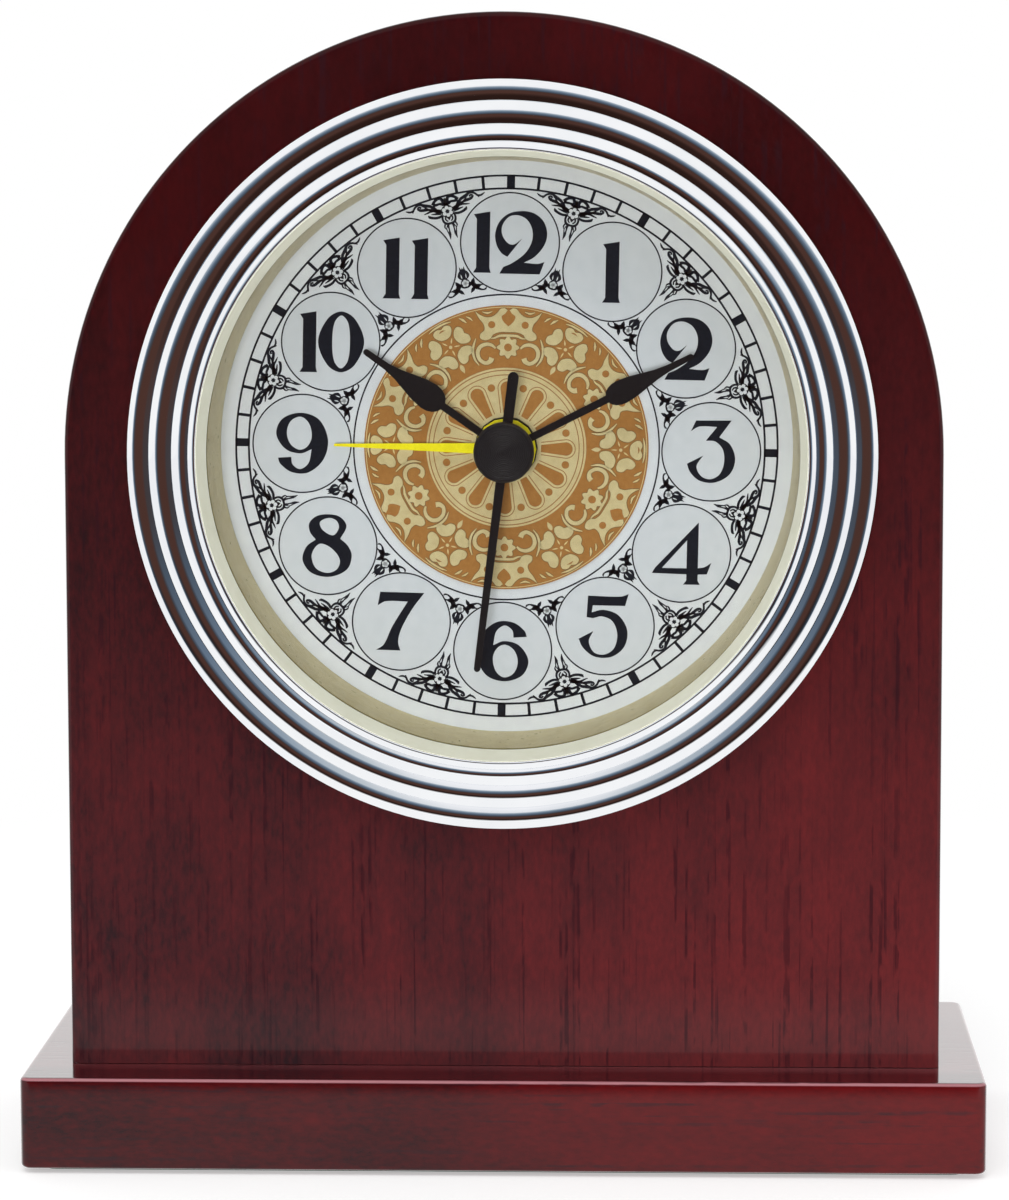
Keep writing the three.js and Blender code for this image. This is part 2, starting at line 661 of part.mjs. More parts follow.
// Places inside the movement
const bayTop = BATTERY_RADIUS + PART_GAP - batteryDrop;
const bayWallTop = bayTop + BAY_WALL;
const bayWallMiddle = bayTop + BAY_WALL / 2;
const platePosts = [
  new THREE.Vector2(-PLATE_POST_X, PLATE_POST_Y),
  new THREE.Vector2(PLATE_POST_X, PLATE_POST_Y),
  new THREE.Vector2(PLATE_POST_X, bayWallMiddle + POST_RADIUS),
];
const coilReach = COIL_LENGTH / 2 + COIL_FLANGE + POST_RADIUS + PART_GAP;
const coilPosts = [-1, 1].map((side) => new THREE.Vector2(COIL_SHIFT + side * coilReach, coilHeight));
const statorFront = thirdLevel - WHEEL_THICKNESS / 2 - STATOR_GAP;
const statorBack = statorFront - STATOR_THICKNESS;
const coreBack = statorFront + SEAT_GAP;
const coreFront = coreBack + COIL_CORE_THICKNESS;
const coverInside = movementBack - SEAT_GAP;
const screwX = movementWidth / 2 - COVER_SCREW_INSET;
const upperScrewHeight = MOVEMENT_SIZE / 2 - COVER_SCREW_INSET;
const lowerScrewHeight = bayWallMiddle + COVER_SCREW_HEAD_RADIUS;
const coverScrewPlaces = [
  new THREE.Vector2(screwX, upperScrewHeight),
  new THREE.Vector2(-screwX, upperScrewHeight),
  new THREE.Vector2(-screwX, lowerScrewHeight),
  new THREE.Vector2(screwX, lowerScrewHeight),
];
const trainPivots = [
  [centreAt, SECOND_ARBOR_RADIUS],
  [intermediateAt, ARBOR_RADIUS],
  [rotorAt, ROTOR_ARBOR_RADIUS],
  [thirdAt, ARBOR_RADIUS],
];
const shaftPlaces = [timeShaftAt, alarmShaftAt];

function coverScrew(at, grow) {
  const headFront = coverBack - SEAT_GAP;
  const headBack = headFront - COVER_SCREW_HEAD_HEIGHT;
  const screw = turned([
    [0, headBack],
    [COVER_SCREW_HEAD_RADIUS, headBack],
    [COVER_SCREW_HEAD_RADIUS, headFront],
    [COVER_SCREW_RADIUS + grow, headFront],
    [COVER_SCREW_RADIUS + grow, headFront + COVER_SCREW_LENGTH + grow],
    [0, headFront + COVER_SCREW_LENGTH + grow],
  ], TINY);
  return screw.translate([at.x, at.y, 0]);
}

// Movement frame: an open box with a bushing, a battery bay, a stud, posts and screw bosses
function movementFrame() {
  const outline = roundedRectangle(movementWidth, MOVEMENT_SIZE, MOVEMENT_CORNER);
  const inside = roundedRectangle(2 * insideHalf, 2 * insideHeight, MOVEMENT_CORNER - MOVEMENT_WALL);
  const shell = cut(
    prism(outline, movementBack, movementFront),
    prism(inside, movementBack - MOVEMENT_WALL, movementInside));
  const root = movementInside + MOVEMENT_WALL / 2;
  const wallMiddle = insideHalf + MOVEMENT_WALL / 2;
  const bushing = rod(bushingOuter, root, dialFront + BUSHING_ABOVE_DIAL, centreAt);
  const bayWall = block(-wallMiddle, wallMiddle, bayTop, bayWallTop, movementBack, root);
  const stud = rod(ARBOR_RADIUS, cannonLevel - WHEEL_THICKNESS, root, motionAt, TINY);
  const posts = platePosts.map((at) => rod(POST_RADIUS, middlePlateFront + SEAT_GAP, root, at, TINY));
  const coilLegs = coilPosts.map((at) => rod(POST_RADIUS, coreFront + SEAT_GAP, root, at, TINY));
  const bosses = coverScrewPlaces.map((at) => rod(COVER_SCREW_HEAD_RADIUS, movementBack, root, at, TINY));
  const bore = rod(bushingInner, movementBack, 0, centreAt);
  const shaftPivots = shaftPlaces.map((at) =>
    rod(SETTING_SHAFT_RADIUS + PIVOT_GAP, movementBack, root, at, TINY));
  const screwBores = coverScrewPlaces.map((at) => coverScrew(at, PIVOT_GAP));
  const body = join(shell, bushing, bayWall, stud, ...posts, ...coilLegs, ...bosses);
  return cut(body, bore, ...shaftPivots, ...screwBores);
}

place(clock, "movement_frame", movementFrame(), WHITE_PLASTIC);

// Middle plate that carries the front pivots of the seconds train
function middlePlate() {
  const reach = POST_RADIUS + PART_GAP;
  const right = PLATE_POST_X + reach;
  const left = Math.min(-PLATE_POST_X, timeShaftAt.x) - reach;
  const bottom = bayWallTop + PART_GAP;
  const top = Math.max(PLATE_POST_Y, rotorAt.y) + reach;
  const outline = roundedRectangle(right - left, top - bottom, reach);
  const blank = prism(outline, middlePlateBack, middlePlateFront);
  const shafts = shaftPlaces.map((at) => [at, SETTING_SHAFT_RADIUS]);
  const holes = [...trainPivots, ...shafts].map(([at, radius]) =>
    rod(radius + PIVOT_GAP, movementBack, movementFront, at, TINY));
  return cut(blank.translate([(left + right) / 2, (bottom + top) / 2, 0]), ...holes);
}

place(clock, "middle_plate", middlePlate(), WHITE_PLASTIC);

// Rear cover with openings for the battery, the setting shafts, the switch and the sound
const doorTop = bayWallMiddle - PART_GAP;
const doorBottom = -MOVEMENT_SIZE / 2 + MOVEMENT_WALL / 2;
const sounderAt = new THREE.Vector2(
  insideHalf - SOUNDER_RADIUS - 2 * COVER_SCREW_HEAD_RADIUS,
  insideHeight - SOUNDER_RADIUS - COVER_SCREW_HEAD_RADIUS);

function movementCover() {
  const outline = roundedRectangle(movementWidth, MOVEMENT_SIZE, MOVEMENT_CORNER);
  const blank = prism(outline, coverBack, coverInside);
  const behind = coverBack - COVER_THICKNESS;
  const ahead = coverInside + COVER_THICKNESS;
  const bayHalf = insideHalf - DOOR_LIP;
  const bay = block(-bayHalf, bayHalf, doorBottom + DOOR_LIP, doorTop - DOOR_LIP, behind, ahead);
  const shaftHoles = shaftPlaces.map((at) =>
    rod(SETTING_SHAFT_RADIUS + PIVOT_GAP, behind, ahead, at, TINY));
  const stemHalf = SWITCH_STEM / 2 + PIVOT_GAP;
  const stemSlot = block(switchX - stemHalf, switchX + stemHalf,
    SWITCH_Y - stemHalf, SWITCH_Y + SWITCH_TRAVEL + stemHalf, behind, ahead);
  const soundSlots = [];
  for (let slot = 0; slot < SOUND_SLOTS; slot += 1) {
    const offset = (slot - (SOUND_SLOTS - 1) / 2) * SOUND_SLOT_PITCH;
    const half = Math.sqrt(SOUNDER_RADIUS ** 2 - offset ** 2) - SOUND_SLOT_PITCH / 2;
    const middle = sounderAt.y + offset;
    soundSlots.push(block(sounderAt.x - half, sounderAt.x + half,
      middle - SOUND_SLOT_WIDTH / 2, middle + SOUND_SLOT_WIDTH / 2, behind, ahead));
  }
  const pivots = trainPivots.map(([at, radius]) =>
    rod(radius + PIVOT_GAP, coverInside - COVER_THICKNESS / 2, ahead, at, TINY));
  const screwBores = coverScrewPlaces.map((at) => coverScrew(at, PIVOT_GAP));
  return cut(blank, bay, stemSlot, ...soundSlots, ...shaftHoles, ...pivots, ...screwBores);
}

place(clock, "movement_cover", movementCover(), BLACK_PLASTIC);

coverScrewPlaces.forEach((at, index) => {
  const slotFront = coverBack - SEAT_GAP - COVER_SCREW_HEAD_HEIGHT / 2;
  const slot = block(at.x - COVER_SCREW_INSET, at.x + COVER_SCREW_INSET,
    at.y - COVER_SCREW_SLOT / 2, at.y + COVER_SCREW_SLOT / 2, coverBack - COVER_SCREW_LENGTH, slotFront);
  place(clock, `cover_screw_${index + 1}`, cut(coverScrew(at, 0), slot), STEEL);
});

// Seconds train: motor pinion to the second arbor, and on to the slipping centre wheel
const coverPivot = coverInside - COVER_THICKNESS / 2 + PIVOT_GAP;
const platePivot = middlePlateFront - PIVOT_GAP;

const magnetMiddle = (statorFront + statorBack) / 2;
const magnetBack = magnetMiddle - ROTOR_MAGNET_LENGTH / 2;
place(clock, "rotor", join(
  rod(ROTOR_ARBOR_RADIUS, coverPivot, platePivot, rotorAt, TINY),
  rod(ROTOR_MAGNET_RADIUS, magnetBack, magnetBack + ROTOR_MAGNET_LENGTH, rotorAt),
  pinion(TEETH.rotorPinion, ROTOR_MODULE, intermediateLevel, rotorAt, rotorTurn),
), BLACK_PLASTIC);
place(clock, "intermediate_wheel", join(
  rod(ARBOR_RADIUS, coverPivot, platePivot, intermediateAt, TINY),
  wheel(TEETH.intermediateWheel, ROTOR_MODULE, intermediateLevel, intermediateAt, intermediateTurn),
  pinion(TEETH.intermediatePinion, SECOND_MODULE, secondLevel, intermediateAt, intermediateTurn),
), WHITE_PLASTIC);
place(clock, "second_wheel", join(
  rod(SECOND_ARBOR_RADIUS, coverPivot, secondHandBack + HAND_THICKNESS, centreAt, TINY),
  wheel(TEETH.secondWheel, SECOND_MODULE, secondLevel, centreAt, secondTurn),
  pinion(TEETH.secondPinion, THIRD_MODULE, thirdLevel, centreAt, secondTurn),
), WHITE_PLASTIC);
place(clock, "third_wheel", join(
  rod(ARBOR_RADIUS, coverPivot, centreLevel + PINION_THICKNESS / 2, thirdAt, TINY),
  wheel(TEETH.thirdWheel, THIRD_MODULE, thirdLevel, thirdAt, thirdTurn),
  pinion(TEETH.thirdPinion, CENTRE_MODULE, centreLevel, thirdAt, thirdTurn),
), WHITE_PLASTIC);
const centreBore = cannonOuter + PIVOT_GAP;
place(clock, "centre_wheel",
  wheel(TEETH.centreWheel, CENTRE_MODULE, centreLevel, centreAt, centreTurn, centreBore), BRASS);

// Motion work and alarm wheel: gears on tubes that reach through the dial to their hands
const handSeat = HAND_THICKNESS + SEAT_GAP;

function tube(inner, back, front) {
  return ring(inner, inner + TUBE_WALL, back, front, SMALL);
}

const tubeMiddle = TUBE_WALL / 2;
place(clock, "cannon_pinion", join(
  tube(cannonInner, centreLevel - PINION_THICKNESS / 2, minuteHandBack + handSeat),
  pinion(TEETH.cannonPinion, MOTION_MODULE, cannonLevel, centreAt, cannonTurn, cannonInner + tubeMiddle),
), BRASS);
place(clock, "motion_wheel", cut(join(
  wheel(TEETH.motionWheel, MOTION_MODULE, cannonLevel, motionAt, motionTurn),
  rod(pitchRadius(TEETH.motionPinion, HOUR_MODULE) / 2, cannonLevel, hourLevel, motionAt),
  pinion(TEETH.motionPinion, HOUR_MODULE, hourLevel, motionAt, motionTurn),
), rod(ARBOR_RADIUS + PIVOT_GAP, movementBack, movementFront, motionAt, TINY)), WHITE_PLASTIC);
place(clock, "hour_wheel", join(
  tube(hourInner, hourLevel - WHEEL_THICKNESS / 2, hourHandBack + handSeat),
  wheel(TEETH.hourWheel, HOUR_MODULE, hourLevel, centreAt, hourTurn, hourInner + tubeMiddle),
), WHITE_PLASTIC);
place(clock, "alarm_wheel", join(
  tube(alarmInner, alarmLevel - WHEEL_THICKNESS / 2, alarmHandBack + handSeat),
  wheel(TEETH.alarmWheel, ALARM_MODULE, alarmLevel, centreAt, alarmTurn, alarmInner + tubeMiddle),
), WHITE_PLASTIC);

// Setting shafts and their fluted knobs
function settingShaft(at, teeth, module, level, turn) {
  const front = movementInside + MOVEMENT_WALL / 2 - PIVOT_GAP;
  const back = knobBack + KNOB_END + SEAT_GAP;
  return join(rod(SETTING_SHAFT_RADIUS, back, front, at, TINY), pinion(teeth, module, level, at, turn));
}

function knob(at) {
  const outline = [];
  const steps = 4 * KNOB_FLUTES;
  for (let step = 0; step < steps; step += 1) {
    const angle = (step / steps) * TURN;
    const radius = KNOB_RADIUS - (KNOB_FLUTE_DEPTH * (1 - Math.cos(KNOB_FLUTES * angle))) / 2;
    outline.push(new THREE.Vector2(radius * Math.cos(angle), radius * Math.sin(angle)));
  }
  const body = prism(new THREE.Shape(outline), knobBack, knobFront).translate([at.x, at.y, 0]);
  const socketBack = knobBack + KNOB_END;
  return cut(body, rod(SETTING_SHAFT_RADIUS + SEAT_GAP, socketBack, coverInside, at, TINY));
}

place(clock, "time_setting_shaft",
  settingShaft(timeShaftAt, TEETH.timePinion, MOTION_MODULE, cannonLevel, timeShaftTurn), WHITE_PLASTIC);
place(clock, "time_knob", knob(timeShaftAt), BLACK_PLASTIC);
place(clock, "alarm_setting_shaft",
  settingShaft(alarmShaftAt, TEETH.alarmPinion, ALARM_MODULE, alarmLevel, alarmShaftTurn), WHITE_PLASTIC);
place(clock, "alarm_knob", knob(alarmShaftAt), BLACK_PLASTIC);

// Stepping motor: stator plate round the rotor, core through the bobbin, winding on it
function statorPlate() {
  const gap = ROTOR_MAGNET_RADIUS + STATOR_AIR_GAP;
  const eyeRadius = gap + STATOR_RING;
  const barMiddle = rotorAt.y + eyeRadius;
  const [left, right] = coilPosts.map((at) => at.x);
  const bar = block(left - POST_RADIUS, right + POST_RADIUS,
    barMiddle - POST_RADIUS, barMiddle + POST_RADIUS, statorBack, statorFront);
  const legs = coilPosts.flatMap((at) => [
    block(at.x - POST_RADIUS, at.x + POST_RADIUS, barMiddle, at.y, statorBack, statorFront),
    rod(POST_RADIUS, statorBack, statorFront, at, TINY),
  ]);
  const eye = rod(eyeRadius, statorBack, statorFront, rotorAt);
  return cut(join(eye, bar, ...legs), rod(gap, movementBack, movementFront, rotorAt));
}

function coilCore() {
  const half = COIL_CORE_WIDTH / 2;
  const reach = coilReach + POST_RADIUS;
  return block(COIL_SHIFT - reach, COIL_SHIFT + reach, coilHeight - half, coilHeight + half,
    coreBack, coreFront);
}

const coreMiddle = (coreBack + coreFront) / 2;
const bobbinRadius = Math.hypot(COIL_CORE_WIDTH / 2, COIL_CORE_THICKNESS / 2) + SEAT_GAP + BOBBIN_WALL;

function alongCoil(solid) {
  return solid.rotate([0, 90, 0]).translate([COIL_SHIFT, coilHeight, coreMiddle]);
}

function coilBobbin() {
  const half = COIL_LENGTH / 2;
  const end = half + COIL_FLANGE;
  const spool = turned([
    [0, -end],
    [COIL_RADIUS, -end],
    [COIL_RADIUS, -half],
    [bobbinRadius, -half],
    [bobbinRadius, half],
    [COIL_RADIUS, half],
    [COIL_RADIUS, end],
    [0, end],
  ], SMALL);
  const slotHalf = COIL_CORE_WIDTH / 2 + SEAT_GAP;
  const slot = block(-COIL_LENGTH, COIL_LENGTH, -slotHalf, slotHalf,
    -COIL_CORE_THICKNESS / 2 - SEAT_GAP, COIL_CORE_THICKNESS / 2 + SEAT_GAP);
  return cut(alongCoil(spool), slot.translate([COIL_SHIFT, coilHeight, coreMiddle]));
}

place(clock, "stator_plate", statorPlate(), STEEL);
place(clock, "coil_core", coilCore(), STEEL);
place(clock, "coil_bobbin", coilBobbin(), WHITE_PLASTIC);
const windingHalf = COIL_LENGTH / 2 - SEAT_GAP;
const winding = ring(bobbinRadius + SEAT_GAP, COIL_RADIUS - SEAT_GAP, -windingHalf, windingHalf, SMALL);
place(clock, "coil_winding", alongCoil(winding), COPPER);

// Circuit board, quartz crystal and sounder on the inside of the cover
const boardBack = coverInside + SEAT_GAP;
const boardFront = boardBack + BOARD_THICKNESS;
const boardRight = insideHalf - PART_GAP;
const boardBottom = lowerScrewHeight + COVER_SCREW_HEAD_RADIUS + PART_GAP;
place(clock, "circuit_board", block(boardRight - BOARD_WIDTH, boardRight,
  boardBottom, boardBottom + BOARD_LENGTH, boardBack, boardFront), BOARD_GREEN);
const crystal = turned([
  [0, 0],
  [CRYSTAL_RADIUS, 0],
  [CRYSTAL_RADIUS, CRYSTAL_LENGTH],
  [0, CRYSTAL_LENGTH],
], TINY).rotate([-90, 0, 0]);
place(clock, "quartz_crystal", crystal.translate([
  boardRight - BOARD_WIDTH / 2,
  boardBottom + CRYSTAL_ABOVE_BOARD_END,
  boardFront + SEAT_GAP + CRYSTAL_RADIUS,
]), STEEL);
place(clock, "sounder_disc",
  rod(SOUNDER_RADIUS, boardBack, boardBack + SOUNDER_THICKNESS, sounderAt), BRASS);

// Battery, its contacts and the sliding door
const contactRight = insideHalf - SEAT_GAP;
const nubEnd = contactRight - CONTACT_THICKNESS - SEAT_GAP;
const batteryEnd = nubEnd - BATTERY_NUB_LENGTH;
const batteryStart = batteryEnd - BATTERY_LENGTH;
const batteryMiddle = movementInside - SEAT_GAP - BATTERY_RADIUS;
const cell = turned([
  [0, batteryStart],
  [BATTERY_RADIUS, batteryStart],
  [BATTERY_RADIUS, batteryEnd],
  [BATTERY_NUB_RADIUS, batteryEnd],
  [BATTERY_NUB_RADIUS, nubEnd],
  [0, nubEnd],
], SMALL).rotate([0, 90, 0]);
place(clock, "battery", cell.translate([0, -batteryDrop, batteryMiddle]), CELL_JACKET);

const contactBack = batteryMiddle - CONTACT_WIDTH / 2;
const contactFront = batteryMiddle + CONTACT_WIDTH / 2;
const contactHalf = CONTACT_WIDTH / 2;
place(clock, "battery_contact_positive", block(contactRight - CONTACT_THICKNESS, contactRight,
  -batteryDrop - contactHalf, -batteryDrop + contactHalf, contactBack, contactFront), STEEL);

function springContact() {
  const wall = -contactRight;
  const tongue = batteryStart - SEAT_GAP;
  const bottom = -batteryDrop - contactHalf;
  const top = -batteryDrop + contactHalf;
  const leaf = new THREE.Shape();
  leaf.moveTo(wall, bottom);
  leaf.lineTo(wall + CONTACT_THICKNESS, bottom);
  leaf.lineTo(wall + CONTACT_THICKNESS, top - CONTACT_BEND);
  leaf.lineTo(tongue - CONTACT_THICKNESS, -batteryDrop - CONTACT_THICKNESS);
  leaf.lineTo(tongue, -batteryDrop);
  leaf.lineTo(wall + 2 * CONTACT_THICKNESS, top);
  leaf.lineTo(wall, top);
  return prism(leaf, contactBack, contactFront);
}

place(clock, "battery_contact_negative", springContact(), STEEL);

function batteryDoor() {
  const panel = block(-insideHalf, insideHalf, doorBottom, doorTop, doorBack, doorFront);
  const ridges = [];
  for (let ridge = 0; ridge < DOOR_RIDGES; ridge += 1) {
    const middle = doorBottom + (ridge + 1) * DOOR_RIDGE_PITCH;
    ridges.push(block(-DOOR_RIDGE_LENGTH / 2, DOOR_RIDGE_LENGTH / 2, middle - DOOR_RIDGE_PITCH / 4,
      middle + DOOR_RIDGE_PITCH / 4, doorBack - DOOR_RIDGE_HEIGHT, doorFront - DOOR_THICKNESS / 2));
  }
  return join(panel, ...ridges);
}

place(clock, "battery_door", batteryDoor(), BLACK_PLASTIC);

// Alarm switch: a thumb piece outside, a stem in the slot and a pad inside
function alarmSwitch() {
  const stemHalf = SWITCH_STEM / 2;
  const thumbFront = coverBack - SEAT_GAP;
  const padBack = coverInside + SEAT_GAP;
  const padFront = padBack + SWITCH_STEM / 2;
  const thumb = block(-SWITCH_WIDTH / 2, SWITCH_WIDTH / 2, -SWITCH_LENGTH / 2, SWITCH_LENGTH / 2,
    thumbFront - SWITCH_HEIGHT, thumbFront);
  const stem = block(-stemHalf, stemHalf, -stemHalf, stemHalf, thumbFront - SWITCH_HEIGHT / 2, padFront);
  const pad = block(-SWITCH_WIDTH / 2, SWITCH_WIDTH / 2, -SWITCH_STEM, SWITCH_STEM, padBack, padFront);
  return join(thumb, stem, pad).translate([switchX, SWITCH_Y, 0]);
}

place(clock, "alarm_switch", alarmSwitch(), WHITE_PLASTIC);

// Hands, drawn pointing at twelve and turned clockwise to where they stand
function handPiece(shape, bossRadius, hole, back, turn) {
  const front = back + HAND_THICKNESS;
  const blade = prism(shape, back, front, HAND_STEPS);
  const boss = rod(bossRadius, back, front, centreAt);
  const eye = rod(hole, back - HAND_PITCH, front + HAND_PITCH, centreAt);
  return cut(join(blade, boss), eye).rotate([0, 0, -turn]);
}

function spadeShape({ length, neck, widest, width, arm, tip, waist }) {
  const half = width / 2;
  const neckHalf = BULB.neckWidth * half;
  const neckEnd = neck + BULB.neckRise * (widest - neck);
  const shoulder = widest - BULB.shoulder * (widest - neck);
  const fall = widest + BULB.fall * (waist - widest);
  const taper = waist - BULB.taper * (waist - widest);
  const taperHalf = BULB.taperWidth * tip;
  const waistHalf = BULB.waistWidth * tip;
  const shape = new THREE.Shape();
  shape.moveTo(arm / 2, 0);
  shape.lineTo(arm / 2, neck);
  shape.bezierCurveTo(neckHalf, neckEnd, half, shoulder, half, widest);
  shape.bezierCurveTo(half, fall, taperHalf, taper, waistHalf, waist);
  shape.absarc(0, length - tip / 2, tip / 2, 0, TURN / 2);
  shape.lineTo(-waistHalf, waist);
  shape.bezierCurveTo(-taperHalf, taper, -half, fall, -half, widest);
  shape.bezierCurveTo(-half, shoulder, -neckHalf, neckEnd, -arm / 2, neck);
  shape.lineTo(-arm / 2, 0);
  return shape;
}

function taperShape(bottom, top, bottomWidth, topWidth, bottomRound, topRound) {
  const shape = new THREE.Shape();
  shape.moveTo(-bottomWidth / 2, bottom);
  if (bottomRound) shape.absarc(0, bottom + bottomWidth / 2, bottomWidth / 2, TURN / 2, TURN);
  else shape.lineTo(bottomWidth / 2, bottom);
  if (topRound) shape.absarc(0, top - topWidth / 2, topWidth / 2, 0, TURN / 2);
  else shape.lineTo(topWidth / 2, top).lineTo(-topWidth / 2, top);
  return shape;
}

place(clock, "alarm_hand", handPiece(
  taperShape(0, ALARM_HAND_LENGTH, ALARM_HAND_WIDTH, ALARM_HAND_TIP, false, true),
  ALARM_BOSS_RADIUS, alarmOuter + SEAT_GAP, alarmHandBack, ALARM_AT), YELLOW_PAINT);
place(clock, "hour_hand", handPiece(
  spadeShape(HOUR_HAND), HAND_BOSS_RADIUS, hourOuter + SEAT_GAP, hourHandBack, HOUR_AT), BLACK_PAINT);
place(clock, "minute_hand", handPiece(
  spadeShape(MINUTE_HAND), HAND_BOSS_RADIUS, cannonOuter + SEAT_GAP, minuteHandBack, MINUTE_AT),
BLACK_PAINT);
place(clock, "second_hand", handPiece(
  taperShape(-SECOND_HAND_TAIL, SECOND_HAND_LENGTH, SECOND_TAIL_WIDTH, SECOND_TIP_WIDTH, true, true),
  HAND_BOSS_RADIUS, SECOND_ARBOR_RADIUS + SEAT_GAP, secondHandBack, SECOND_AT), BLACK_PAINT);
const capBack = secondHandBack + HAND_THICKNESS + SEAT_GAP;
place(clock, "second_hand_cap", turned([
  [0, capBack],
  [CAP_RADIUS, capBack],
  [CAP_RADIUS, capBack + CAP_HEIGHT - CAP_EDGE],
  [CAP_RADIUS - CAP_EDGE, capBack + CAP_HEIGHT],
  [0, capBack + CAP_HEIGHT],
], MEDIUM), BLACK_PAINT);

export default clockTable;
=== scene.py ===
"""Arched wooden table clock: its smooth shapes, printed dial and finishes."""
import json
import math

import bmesh
import bpy
from mathutils import Matrix, Vector
from mathutils.geometry import tessellate_polygon


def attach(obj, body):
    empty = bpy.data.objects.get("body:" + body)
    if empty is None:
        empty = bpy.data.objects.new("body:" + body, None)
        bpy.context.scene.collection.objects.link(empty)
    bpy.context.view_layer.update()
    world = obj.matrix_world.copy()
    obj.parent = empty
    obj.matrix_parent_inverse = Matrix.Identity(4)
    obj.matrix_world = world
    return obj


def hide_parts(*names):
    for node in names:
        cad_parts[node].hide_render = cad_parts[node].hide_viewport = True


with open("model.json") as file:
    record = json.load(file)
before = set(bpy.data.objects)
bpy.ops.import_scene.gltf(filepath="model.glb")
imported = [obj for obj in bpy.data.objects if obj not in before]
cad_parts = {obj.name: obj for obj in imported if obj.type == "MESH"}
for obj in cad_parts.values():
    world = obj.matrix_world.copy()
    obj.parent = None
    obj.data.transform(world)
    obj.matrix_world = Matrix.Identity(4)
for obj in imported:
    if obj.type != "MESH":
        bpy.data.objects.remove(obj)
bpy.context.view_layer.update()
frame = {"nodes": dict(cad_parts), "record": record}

MM = 0.001
TURN = 2 * math.pi
HOURS = 12
HOUR_ANGLE = 360 / HOURS
MINUTES = 60
MINUTE_ANGLE = 360 / MINUTES

# Places of the solids, in millimetres; depths count from the wooden front face towards the viewer
FACE_Y = -18.5
CENTRE_Z = 98.7
BASE_WIDTH = 133
BASE_DEPTH = 57
BASE_BOTTOM = 0.7
BASE_TOP = 13.4
BASE_CORNER = 1.6
BASE_EDGE = 0.6
LEAST_CORNER = 0.2
EDGE_RIM = 0.4
ARCH_HALF = 60.5
ARCH_BOTTOM = 13.47 - CENTRE_Z
ARCH_THICKNESS = 36
ARCH_EDGE = 0.8
BORE_RADIUS = 45.1
BEZEL_RADIUS = 51.35
BEZEL_FOOT = 0.1
THROAT_RADIUS = 40.9
THROAT_DEPTH = -0.7
LENS_RADIUS = 42.6
LENS_FRONT = -0.8
LENS_BACK = -2.4
REHAUT_FRONT = -2.5
REHAUT_BACK = -15.0
REHAUT_INNER_BACK = 40.25
DIAL_FRONT = -15.1
DIAL_BACK = -15.6
DIAL_HOLE = 3.7
DISC_RADIUS = 20
DISC_BACK = -15.05
DISC_FRONT = -14.8
CAP_BACK = -6.5
CAP_RADIUS = 4.2
CAP_HEIGHT = 1.7

# Printed dial, which sits turned a little clockwise
DIAL_TURN = 1.16
TRACK_OUTER = 38.1
TRACK_INNER = 36.3
TRACK_LINE = 0.28
MINUTE_BAR = 0.42
HOUR_BAR = 1.13
CARTOUCHE_AT = 28.8
CARTOUCHE_RADIUS = 6.92
CARTOUCHE_LINE = 0.2
INNER_RING = 21.5
INNER_LINE = 0.22
OUTER_FLORAL_AT = 34.0
INNER_FLORAL_AT = 23.35
INK = 0.03

# Steps of curves
ROUND_STEPS = 192
EDGE_STEPS = 6
BEAD_STEPS = 24
CURVE_STEPS = 8
DOT_STEPS = 20
SMALL_STEPS = 12
LEAF_TIP = 0.03


# Shapes, gathered in the clock's own millimetres: right, up and towards the viewer
class Form:
    def __init__(self):
        self.points = []
        self.faces = []

    def add(self, points, faces):
        start = len(self.points)
        self.points += points
        self.faces += [tuple(start + i for i in face) for face in faces]


def clock_place(x, y, w):
    return Vector((x * MM, (FACE_Y - w) * MM, (CENTRE_Z + y) * MM))


def stand_place(x, y, z):
    return Vector((x * MM, y * MM, z * MM))


def loft(form, loops, closed):
    count = len(loops[0])
    points = [point for loop in loops for point in loop]
    faces = []
    for a in range(len(loops) if closed else len(loops) - 1):
        b = (a + 1) % len(loops)
        for i in range(count):
            j = (i + 1) % count
            faces.append((a * count + i, a * count + j, b * count + j, b * count + i))
    if not closed:
        last = (len(loops) - 1) * count
        faces.append(tuple(reversed(range(count))))
        faces.append(tuple(range(last, last + count)))
    form.add(points, faces)


def circle(radius, w, steps=ROUND_STEPS, at=(0, 0)):
    return [
        (at[0] + radius * math.cos(TURN * i / steps), at[1] + radius * math.sin(TURN * i / steps), w)
        for i in range(steps)
    ]


def turned(form, profile, closed=True, steps=ROUND_STEPS, at=(0, 0)):
    loft(form, [circle(radius, w, steps, at) for radius, w in profile], closed)


def signed_area(a, b, c):
    return (b[0] - a[0]) * (c[1] - a[1]) - (b[1] - a[1]) * (c[0] - a[0])


def plate(form, loops, back, front):
    flat = [point for loop in loops for point in loop]
    count = len(flat)
    points = [(x, y, front) for x, y in flat] + [(x, y, back) for x, y in flat]
    faces = []
    for a, b, c in tessellate_polygon([[Vector((x, y, 0)) for x, y in loop] for loop in loops]):
        if signed_area(flat[a], flat[b], flat[c]) < 0:
            b, c = c, b
        faces.append((a, b, c))
        faces.append((count + a, count + c, count + b))
    start = 0
    for loop in loops:
        size = len(loop)
        for i in range(size):
            a = start + i
            b = start + (i + 1) % size
            faces.append((a, b, count + b, count + a))
        start += size
    form.add(points, faces)


